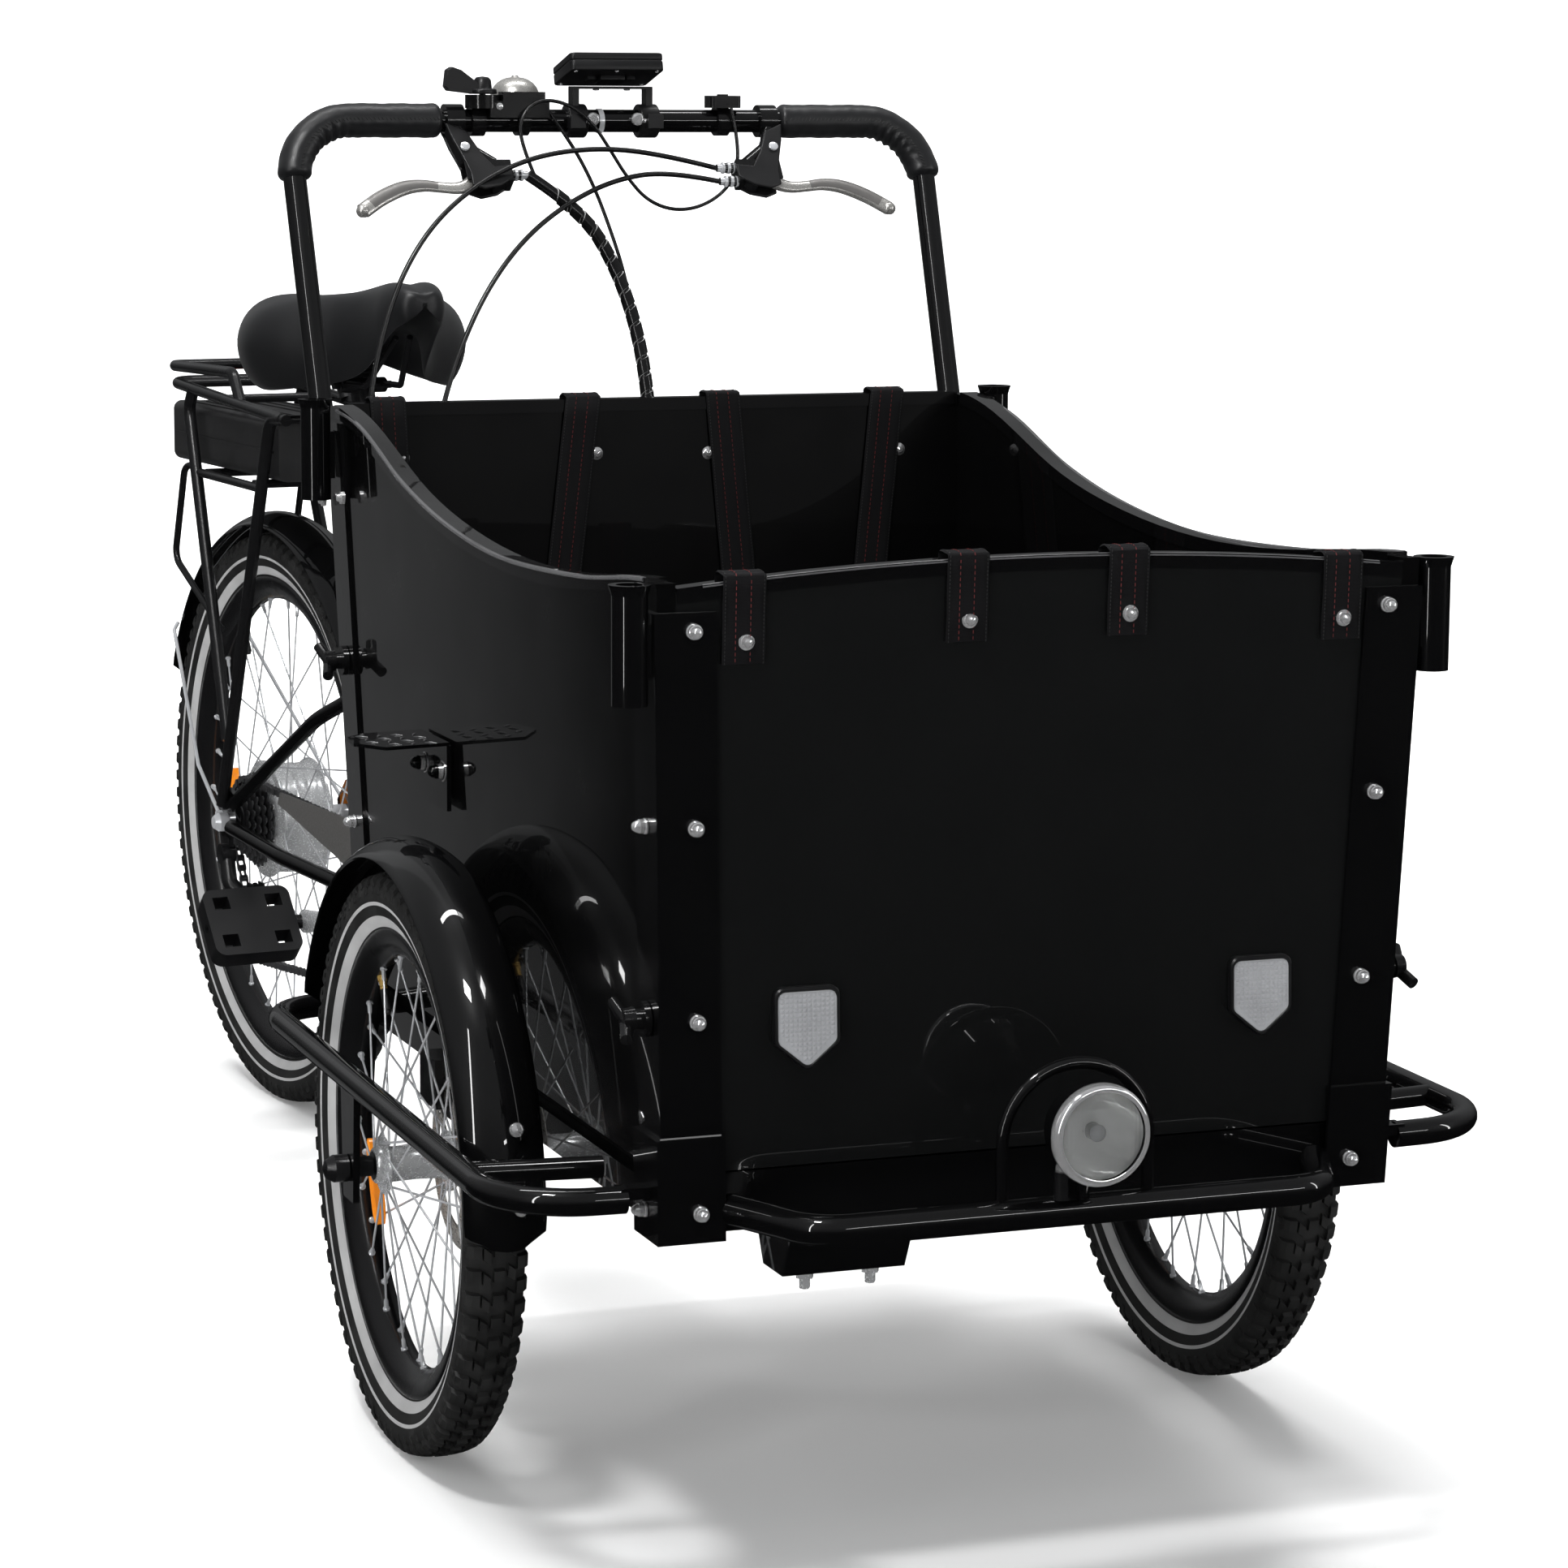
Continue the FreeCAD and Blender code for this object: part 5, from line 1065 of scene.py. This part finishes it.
def bell():
    x, y, z = -92.0, BAR_Y + 20.0, BAR_Z + 22.0
    s = Shape()
    s.lathe([(22.0, 0.1), (21.8, 3.0), (20.4, 3.6), (20.0, 4.2), (19.6, 8), (17.8, 13), (14.6, 17.8),
             (10.4, 21.4), (5, 23.6), (0, 24.6), (-1.4, 24.6), (-1.2, 23.6), (4.6, 22.4), (9.6, 20.2),
             (13.4, 17), (16.6, 12), (18.2, 7), (18.6, 0.1)],
            (x, y, z), "z", steps=64)
    s.lathe([(-4, 0.1), (-4, 3.0), (18.6, 3.0), (18.8, 0.1)], (x, y, z), "z", steps=16)
    s.make("bell_cap", ["satin_silver"], "box_unit", "bell_silver", ["bell_dome"], sharp=45)


# ---------------------------------------------------------------- saddle
SADDLE = [  # distance back, half width, top, bottom of the skirt
    (1448, 3, 948, 941), (1450, 14, 956, 933), (1456, 24, 961, 926), (1470, 31, 966, 919), (1490, 35, 968, 906),
    (1514, 38, 965, 886), (1540, 45, 960, 868), (1566, 60, 955, 857), (1590, 84, 952, 851), (1614, 109, 950, 847),
    (1638, 126, 949, 844), (1662, 130, 949, 844), (1690, 125, 948, 847), (1716, 109, 943, 853), (1736, 81, 935, 863),
    (1747, 42, 925, 876), (1749, 8, 914, 888)]
SADDLE_SECTION = [
    (0, 0.955), (0.14, 0.965), (0.32, 0.99), (0.5, 1.0), (0.66, 0.98), (0.79, 0.92), (0.895, 0.82), (0.965, 0.68),
    (1.0, 0.52), (0.99, 0.36), (0.945, 0.2), (0.88, 0.07), (0.81, 0.0), (0.76, 0.03), (0.73, 0.2), (0.68, 0.44),
    (0.5, 0.58), (0.2, 0.64), (0, 0.64)]


def saddle():
    """Broad padded saddle: crowned wings with a shallow channel, and a deep skirt, hollow underneath."""
    s = Shape(rear=True)
    rows = []
    for y, w, top, low in [tuple(p) for p in hermite(SADDLE, 3)]:
        row = [(w * u, y, low + (top - low) * v) for u, v in SADDLE_SECTION]
        row += [(-a, b, c) for a, b, c in row[-2:0:-1]]
        rows.append(row)
    s.loft(rows)
    piece = s.make("saddle_pad", ["leatherette"], "saddle_post", "leatherette", ["saddle_cover"],
                   sharp=80, smooth=1)


def seat_axis(t):
    a = math.radians(70.0)
    return Vector((0.0, 1432.0 + t * math.cos(a), 290.0 + t * math.sin(a)))


def saddle_stand():
    """Post, micro-adjust head, rails, and the two coil springs."""
    s = Shape(rear=True)
    top = seat_axis(592)
    s.tube([seat_axis(400), top], 13.4, steps=40, up=(1, 0, 0))
    s.tube([(-26, top.y, top.z + 3), (26, top.y, top.z + 3)], 12, steps=28, flat=0.7)
    s.tube([(-34, top.y, top.z + 3), (34, top.y, top.z + 3)], 4.2, steps=12)
    for m in (-1, 1):
        x, y = m * 30, 1712
        rail = [(m * 8, 1512, 908), (m * 20, 1570, top.z + 6), (m * 22, 1676, top.z + 4), (x, y, top.z + 4)]
        s.tube(bent(rail, 12), 3.5, steps=12)
        coil = []
        for k in range(97):
            a = 2 * math.pi * k / 16
            coil.append((x + 11.5 * math.cos(a), y + 11.5 * math.sin(a), top.z + 4 + (876 - top.z) * k / 96))
        s.tube(coil, 2.9, steps=8)
        s.lathe([(0, 0.1), (0, 15), (4, 15), (4, 0.1)], (x, y, 878), "z", steps=24)
    s.make("saddle_stand", ["satin_black"], "saddle_post", "satin_black", ["seat_post"], sharp=40)


# ---------------------------------------------------------------- drive train
BB_Y, BB_Z = 1432.0, 290.0
CRANK, CRANK_DEG = 170.0, -9.0
CHAIN_X = -50.0
PITCH = 12.7
RING_R, RING_TEETH = 84.3, 42


def gear(s, cx, cy, cz, radius, teeth, x0, x1, hole, mat=0):
    """Toothed ring between x0 and x1; radius is its pitch radius."""
    outer, inner = [], []
    for k, a in enumerate(angles(teeth * 6)):
        r = radius + (3.4, 2.6, -0.6, -3.6, -0.6, 2.6)[k % 6]
        outer.append((r * math.cos(a), r * math.sin(a)))
        inner.append((hole * math.cos(a), hole * math.sin(a)))
    rows = []
    for ring, x in ((inner, x0), (outer, x0), (outer, x1), (inner, x1)):
        rows.append([(cx + x, cy + u, cz + v) for u, v in ring])
    s.grid(rows, around=True, along=True, mat=mat)


def belt_points(circles, gap):
    """Even points along the closed line round circles (y, z, r)."""
    touch = []
    n = len(circles)
    for i in range(n):
        (y0, z0, r0), (y1, z1, r1) = circles[i], circles[(i + 1) % n]
        apart = math.hypot(y1 - y0, z1 - z0)
        t = math.atan2(z1 - z0, y1 - y0) + math.acos((r0 - r1) / apart)
        c, d = math.cos(t), math.sin(t)
        touch.append(((y0 + r0 * c, z0 + r0 * d), (y1 + r1 * c, z1 + r1 * d), t))
    line = []
    for i in range(n):
        a, b, t = touch[i]
        t2 = touch[(i + 1) % n][2]
        while t2 > t:
            t2 -= 2 * math.pi
        y, z, r = circles[(i + 1) % n]
        line += [(0, *a), (0, *b)]
        for k in range(1, 24):
            u = t + (t2 - t) * k / 24
            line.append((0, y + r * math.cos(u), z + r * math.sin(u)))
    line.append(line[0])
    total = sum((Vector(q) - Vector(p)).length for p, q in zip(line, line[1:]))
    count = 2 * round(total / gap / 2)
    return resample(line, total / count - 1e-6)[:count]


LINK_TOP = [(-4, 0), (-2.8, 2.9), (0, 4.1), (3, 3.6), (6.35, 2.7), (9.7, 3.6), (PITCH, 4.1), (15.5, 2.9),
            (16.7, 0)]
LINK = LINK_TOP + [(u, -v) for u, v in LINK_TOP[-2:0:-1]]


def chain():
    """Roller chain round chainring, cog and idler: narrow and wide pairs of plates by turns."""
    s = Shape(rear=True)
    pins = belt_points([(BB_Y, BB_Z, RING_R), (REAR["y"], REAR["r"], 48.3), (1840.0, 196.0, 22.5)], PITCH)
    roller = [(-4.6, 0.1), (-4.6, 1.9), (-2.4, 1.9), (-2.4, 3.9), (2.4, 3.9), (2.4, 1.9), (4.6, 1.9),
              (4.6, 0.1)]
    for i, p in enumerate(pins):
        q = pins[(i + 1) % len(pins)]
        ahead = (q - p).normalized()
        up = Vector((0, -ahead.z, ahead.y))
        outline = [p + ahead * u + up * v for u, v in LINK]
        x = 2.4 if i % 2 else 3.4
        for m in (-1, 1):
            s.loft([[(CHAIN_X + m * x + dx, c.y, c.z) for c in outline] for dx in (0, m * 0.9)])
        s.lathe(roller, (CHAIN_X, p.y, p.z), steps=8)
    s.make("chain_links", ["dark_steel"], "rear_unit", "chain_steel", ["chain"], sharp=30)


def cassette():
    """Five cogs that shrink outwards, on their tapered carrier."""
    s = Shape(rear=True)
    c = (0, REAR["y"], REAR["r"])
    for k, r in enumerate((54, 49, 44, 39, 34)):
        x = -39 - 5 * k
        gear(s, x, c[1], c[2], r - 2.0, round(2 * math.pi * (r - 2) / PITCH), -1.8, 0, 20 if k else 24)
    s.lathe([(-37, 8), (-37, 24), (-62, 20.4), (-64, 18), (-64, 8)], c, steps=40)
    s.make("cassette_cogs", ["dark_steel"], "cassette", "chain_steel", ["cassette"], sharp=30)


def crankset():
    """Forged arms on their spindle, and the toothed chainring on its five-arm spider."""
    s = Shape(rear=True)
    a = math.radians(CRANK_DEG)
    for m, side in ((-1, 1), (1, -1)):
        ahead = Vector((0, side * math.cos(a), side * math.sin(a)))
        hub = Vector((m * 86, BB_Y, BB_Z))
        s.tube([hub + ahead * t for t in (-15, -13, -4, 12, 60, 120, 150, 160, 175, 181, 183)],
               [7, 12, 16, 16, 12.5, 11.5, 12, 13, 13, 9, 4], steps=20, flat=0.44, up=(1, 0, 0))
        s.lathe([(-8, 0.1), (-8, 17), (7, 16), (8, 14), (8, 0.1)], tuple(hub), steps=32)
        cap = [(m * 8, 0.1), (m * 8, 6), (m * 10, 6.5), (m * 11, 5), (m * 11, 0.1)]
        s.lathe(cap, tuple(hub), steps=20, mat=1)
        end = hub + ahead * CRANK
        s.tube([end + Vector((m * dx, 0, 0)) for dx in (5, 16, 17, 106)], [8, 8, 5, 4.8], steps=18, mat=1)
    s.tube([(-92, BB_Y, BB_Z), (92, BB_Y, BB_Z)], 7.9, steps=24, mat=1)
    s.lathe([(-80, 8), (-80, 16), (-53, 16), (-53, 8)], (0, BB_Y, BB_Z), steps=32, mat=1)
    for k in range(5):
        ray = radial(2 * math.pi * (k + 0.5) / 5)
        c = Vector((CHAIN_X - 3, BB_Y, BB_Z))
        s.tube([c + ray * r for r in (12, 30, 56, 64)], [9, 7, 6, 5], steps=12, flat=0.4, up=(1, 0, 0), mat=1)
        s.lathe([(-3, 0.1), (-3, 4), (3, 4), (3, 0.1)], tuple(c + ray * 61), steps=14, mat=2)
    gear(s, CHAIN_X, BB_Y, BB_Z, RING_R, RING_TEETH, -1.2, 1.2, 58, mat=1)
    s.make("crank_arms", ["alloy", "satin_black", "chrome"], "crank", "satin_black", ["crankset"], sharp=40)


def step_details():
    """Raised chequer marks on the step's plate, light grey as painted highlights, and two bright nuts on its flange.
    """
    s = Shape()
    for i in range(4):
        for j in range(5):
            x, y = -336 - 16 * i, 570 + 18 * j
            if y > 640 - 0.25 * (-336 - x) or (i == 3 and j == 0):
                continue
            turn = 0.5 if (i + j) % 2 else -0.9
            dx, dy = 6 * math.sin(turn), 6 * math.cos(turn)
            s.tube([(x - dx, y - dy, 610.1), (x, y, 610.4), (x + dx, y + dy, 610.1)], [0.3, 1.7, 0.3],
                   steps=8, flat=0.6)
    s.make("chequer_marks", ["trim_painted_highlight"], "box_unit", "black_paint", sharp=60)
    s = Shape()
    nut_and_bolt = [(0.4, 0.1), (0.4, 9.2), (-0.8, 9.2), (-0.8, 6.6), (-5.4, 6.6), (-6.0, 5.6), (-6.0, 3.0),
                    (-9.6, 3.0), (-10.4, 0.1)]
    for y in (574, 630):
        s.lathe(nut_and_bolt, (-324.2, y, 584), steps=18)
    s.make("step_nuts", ["chrome"], "box_unit", "zinc_nuts", sharp=30)


def rack_details():
    """Battery's ribs, seams and locks, and the tail lamp's lens ribs."""
    s = Shape(rear=True)
    for x in (-46, -30, -14, 14, 30, 46):
        s.block((x - 2, 1790, 803.6), (x + 2, 2060, 805.4))
    for m in (-1, 1):
        s.block((m * 58.3 - 0.8, 1760, 766), (m * 58.3 + 0.8, 2094, 769))
    for m in (1, -1):
        lock = [(0, 0.1), (0, 8), (m * 2.4, 8), (m * 2.4, 5), (m * 1.8, 5), (m * 1.8, 0.1)]
        s.lathe(lock, (m * 58, 1786, 752), steps=24, mat=1)
    s.make("battery_trim", ["battery", "chrome"], "battery", "battery_case", sharp=40)
    s = Shape(rear=True)
    for k in range(15):
        x = -38 + 76 * k / 14
        s.tube([(x, 2111.4, 762), (x, 2111.4, 791)], 1.7, steps=8, up=(1, 0, 0))
    s.make("tail_ribs", ["tail_red"], "battery", "tail_red")


# ---------------------------------------------------------------- cables
def adjuster_end(offset, side):
    """Middle of a barrel adjuster's end face, where its cable starts."""
    return (side * -98, 1046 + offset * 0.593, 1090 + offset * 0.805)


ROUTES = {
    "brake_cable_upper": [
        adjuster_end(8, -1), (40, 1044, 1110), (-28, 1038, 1117), (-94, 1035, 1109), (-148, 1031, 1086),
        (-196, 1023, 1050), (-232, 1010, 1004), (-257, 997, 950), (-274, 985, 888), (-281, 977, 820),
        (-277, 972, 748), (-270, 969, 676), (-263, 967, 604), (-258, 965, 532), (-255, 960, 460),
        (-252, 950, 394), (-250, 932, 346), (-250, 902, 318)],
    "brake_cable_lower": [
        adjuster_end(-8, -1), (44, 1040, 1094), (-12, 1038, 1086), (-64, 1034, 1062), (-110, 1026, 1028),
        (-150, 1012, 982), (-182, 997, 926), (-206, 984, 864), (-220, 974, 798), (-226, 969, 728),
        (-226, 966, 656), (-223, 965, 584), (-219, 963, 512), (-215, 958, 444), (-212, 948, 384),
        (-210, 930, 340), (-210, 902, 318)],
    "control_loom": [
        adjuster_end(0, 1), (-44, 1042, 1056), (-14, 1028, 1002), (2, 1008, 940), (6, 986, 872), (5, 973, 800),
        (2, 967, 726), (-2, 965, 652), (-5, 966, 578), (-8, 966, 504), (-9, 960, 430), (-10, 944, 366),
        (-10, 902, 321)],
    "keypad_cable": [
        (120, 1070, 1155), (129, 1066, 1114), (119, 1064, 1080), (92, 1062, 1060), (60, 1061, 1054),
        (30, 1061, 1064), (8, 1061, 1088), (-10, 1061, 1116), (-28, 1061, 1142), (-54, 1062, 1160),
        (-82, 1062, 1163), (-101, 1059, 1147), (-103, 1055, 1122), (-90, 1046, 1087)],
    "shifter_cable": [
        (-70, 1070, 1152), (-48, 1066, 1122), (-28, 1059, 1083), (-14, 1048, 1040), (-4, 1030, 994),
        (-2, 1016, 962)],
}
CABLE_R = {"brake_cable_upper": 0.0025, "brake_cable_lower": 0.0025, "control_loom": 0.0055,
           "keypad_cable": 0.0018, "shifter_cable": 0.0018}


def cables():
    for name, route in ROUTES.items():
        curve = bpy.data.curves.new(name + "_line", "CURVE")
        curve.dimensions = "3D"
        spline = curve.splines.new("NURBS")
        spline.points.add(len(route) - 1)
        for point, place in zip(spline.points, route):
            point.co = (*at(*place), 1)
        spline.order_u = 3
        spline.use_endpoint_u = True
        spline.resolution_u = 12
        curve.bevel_depth = CABLE_R[name]
        curve.bevel_resolution = 4
        curve.use_fill_caps = True
        curve.materials.append(M["cable"])
        piece = add(name + "_smooth", curve)
        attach(piece, "box_unit")
        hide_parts(name)
        extra = [loom_wrap(curve)] if name == "control_loom" else []


WRAP_STEP = 1.5


def loom_wrap(curve):
    """Spiral sleeve round the control loom, in turns of flat band with a gap between them."""
    line = curve.copy()
    line.bevel_depth = 0.0
    line.use_fill_caps = False
    ghost = add("loom_line", line)
    mesh = bpy.data.meshes.new_from_object(ghost.evaluated_get(bpy.context.evaluated_depsgraph_get()))
    pts = resample([v.co * 1000 for v in mesh.vertices], WRAP_STEP)
    bpy.data.objects.remove(ghost)
    s = Shape()
    s.place = lambda x, y, z: Vector((x, y, z)) / 1000
    rows = []
    turn_length, band, skin = 17.0, 14.0, 6.7
    steps = 20
    side = Vector((1, 0, 0))
    frames = []
    for i, p in enumerate(pts):
        ahead = (pts[min(i + 1, len(pts) - 1)] - pts[max(i - 1, 0)]).normalized()
        side = (side - ahead * side.dot(ahead)).normalized()
        frames.append((p, ahead, side.copy(), ahead.cross(side)))
    length = WRAP_STEP * (len(pts) - 1)
    count = int((length - 60.0 - band) / turn_length * steps)
    for k in range(count):
        a = 2 * math.pi * k / steps
        row = []
        for along, r in ((0.0, 5.4), (0.3, skin), (band - 0.3, skin), (band, 5.4)):
            t = (30.0 + turn_length * k / steps + along) / WRAP_STEP
            p, ahead, u, v = frames[min(int(t), len(frames) - 1)]
            p = p + ahead * ((t - int(t)) * WRAP_STEP)
            row.append(tuple(p + (u * math.cos(a) + v * math.sin(a)) * r))
        rows.append(row)
    # the band's edge strips take the grey stripe material: painted highlight along the seams
    s.grid(rows, mat=lambda i, j: 0 if j == 1 else 1)
    return s.make("loom_wrap", ["gloss_plastic", "stripe"], "box_unit", "cable_black", sharp=40)


# ---------------------------------------------------------------- stage, light and camera
FLOOR_HALF, CURVE_START, CURVE_RADIUS, WALL_TOP = 60.0, 9.0, 4.0, 16.0    # metres
GLOW_TOWARDS = (-0.174, 0.985, 0.0)


def map_range(nds, lks, source, low, high, to_low, to_high):
    node = nds.new("ShaderNodeMapRange")
    for key, value in (("From Min", low), ("From Max", high), ("To Min", to_low), ("To Max", to_high)):
        node.inputs[key].default_value = value
    lks.new(source, node.inputs["Value"])
    return node


def vector_math(nds, lks, operation, source, other=None):
    node = nds.new("ShaderNodeVectorMath")
    node.operation = operation
    lks.new(source, node.inputs[0])
    if other:
        node.inputs[1].default_value = other
    return node


def stage():
    """White floor that curves up into a backdrop; it glows away from the object, and mirrors don't see it."""
    m, nds, lks, s = node_tree("floor_white")
    s.inputs["Base Color"].default_value = (0.86, 0.86, 0.86, 1)
    s.inputs["Roughness"].default_value = 0.9
    s.inputs["Specular IOR Level"].default_value = 0.0
    coord = nds.new("ShaderNodeTexCoord")
    far = vector_math(nds, lks, "LENGTH", coord.outputs["Object"])
    glow = map_range(nds, lks, far.outputs["Value"], 1.4, 4.5, 0.12, 1.0)
    glow.interpolation_type = "SMOOTHSTEP"
    s.inputs["Emission Color"].default_value = (1, 1, 1, 1)
    lks.new(glow.outputs["Result"], s.inputs["Emission Strength"])
    mesh = bpy.data.meshes.new("backdrop")
    profile = [(-FLOOR_HALF, 0.0), (CURVE_START, 0.0)]
    for k in range(1, 13):
        a = math.radians(7.5 * k)
        profile.append((CURVE_START + CURVE_RADIUS * math.sin(a), CURVE_RADIUS * (1 - math.cos(a))))
    profile.append((CURVE_START + CURVE_RADIUS, WALL_TOP))
    verts, faces = [], []
    for y, z in profile:
        verts += [(-FLOOR_HALF, y, z), (FLOOR_HALF, y, z)]
    for i in range(len(profile) - 1):
        faces.append((2 * i, 2 * i + 1, 2 * i + 3, 2 * i + 2))
    mesh.from_pydata(verts, [], faces)
    mesh.shade_smooth()
    mesh.materials.append(m)
    floor = add("backdrop", mesh)
    floor.visible_glossy = False


def area_light(name, place, target, size, power, mirrored=True):
    light = bpy.data.lights.new(name, "AREA")
    light.shape = "RECTANGLE"
    light.size, light.size_y = size
    light.energy = power
    obj = add(name, light)
    obj.location = place
    obj.rotation_euler = (Vector(target) - Vector(place)).to_track_quat("-Z", "Y").to_euler()
    obj.visible_camera = False
    obj.visible_glossy = mirrored


def world():
    """Dim surroundings: dark below the horizon, lighter above and towards the left rear."""
    w = bpy.data.worlds.new("studio")
    w.use_nodes = True
    nds, lks = w.node_tree.nodes, w.node_tree.links
    coord = nds.new("ShaderNodeTexCoord")
    split = nds.new("ShaderNodeSeparateXYZ")
    lks.new(coord.outputs["Generated"], split.inputs["Vector"])
    rise = map_range(nds, lks, split.outputs["Z"], -0.1, 0.5, 0.006, 0.24)
    level = vector_math(nds, lks, "MULTIPLY", coord.outputs["Generated"], (1, 1, 0))
    unit = vector_math(nds, lks, "NORMALIZE", level.outputs["Vector"])
    toward = vector_math(nds, lks, "DOT_PRODUCT", unit.outputs["Vector"], GLOW_TOWARDS)
    rear = map_range(nds, lks, toward.outputs["Value"], 0.9905, 0.9965, 0.0, 0.13)
    total = nds.new("ShaderNodeMath")
    lks.new(rise.outputs["Result"], total.inputs[0])
    lks.new(rear.outputs["Result"], total.inputs[1])
    lks.new(total.outputs[0], nds["Background"].inputs["Strength"])
    nds["Background"].inputs["Color"].default_value = (0.97, 0.985, 1.0, 1)
    bpy.context.scene.world = w


def lights():
    area_light("overhead", (0.4, 1.2, 5.2), (0, 0, 0), (3.6, 3.6), 330, mirrored=False)
    area_light("front_strip", (1.45, -4.3, 1.6), (0, 0, 1.0), (2.6, 0.1), 16)
    area_light("top_box", (-1.3, -1.6, 3.4), (-0.2, -0.3, 0.5), (0.5, 0.35), 55)
    area_light("top_strip", (0.0, 0.3, 3.8), (0, 0, 0.4), (3.0, 0.16), 40)
    area_light("left_strip", (-3.4, -3.1, 2.2), (0, 0, 1.0), (0.16, 4.2), 46)
    area_light("right_strip", (3.4, -2.6, 1.6), (0, 0, 0.8), (0.2, 2.4), 22)


def camera():
    cam = bpy.data.cameras.new("camera")
    cam.lens = 104.06
    cam.sensor_width = 36.0
    cam.clip_end = 100.0
    obj = add("camera", cam)
    obj.location = at(-1417.9, -3201.5, 1184.4)
    az, pitch, roll = math.radians(20.51), math.radians(8.85), math.radians(0.31)
    ahead = Vector((math.sin(az) * math.cos(pitch), math.cos(az) * math.cos(pitch), -math.sin(pitch)))
    right = Vector((math.cos(az), -math.sin(az), 0))
    up = right.cross(ahead)
    right2 = right * math.cos(roll) + up * math.sin(roll)
    up2 = up * math.cos(roll) - right * math.sin(roll)
    obj.rotation_euler = Matrix((right2, up2, -ahead)).transposed().to_euler()
    bpy.context.scene.camera = obj


camera()
cables()
finish_nodes()
wheels()
fenders()
straps()
edge_beads()
panel_nuts()
headlamp()
reflectors()
grips()
brake_levers()
shifter_paddle()
display()
bell()
saddle()
saddle_stand()
chain()
step_details()
cassette()
crankset()
rack_details()
stage()
world()
lights()
bpy.context.scene.view_settings.view_transform = "Standard"
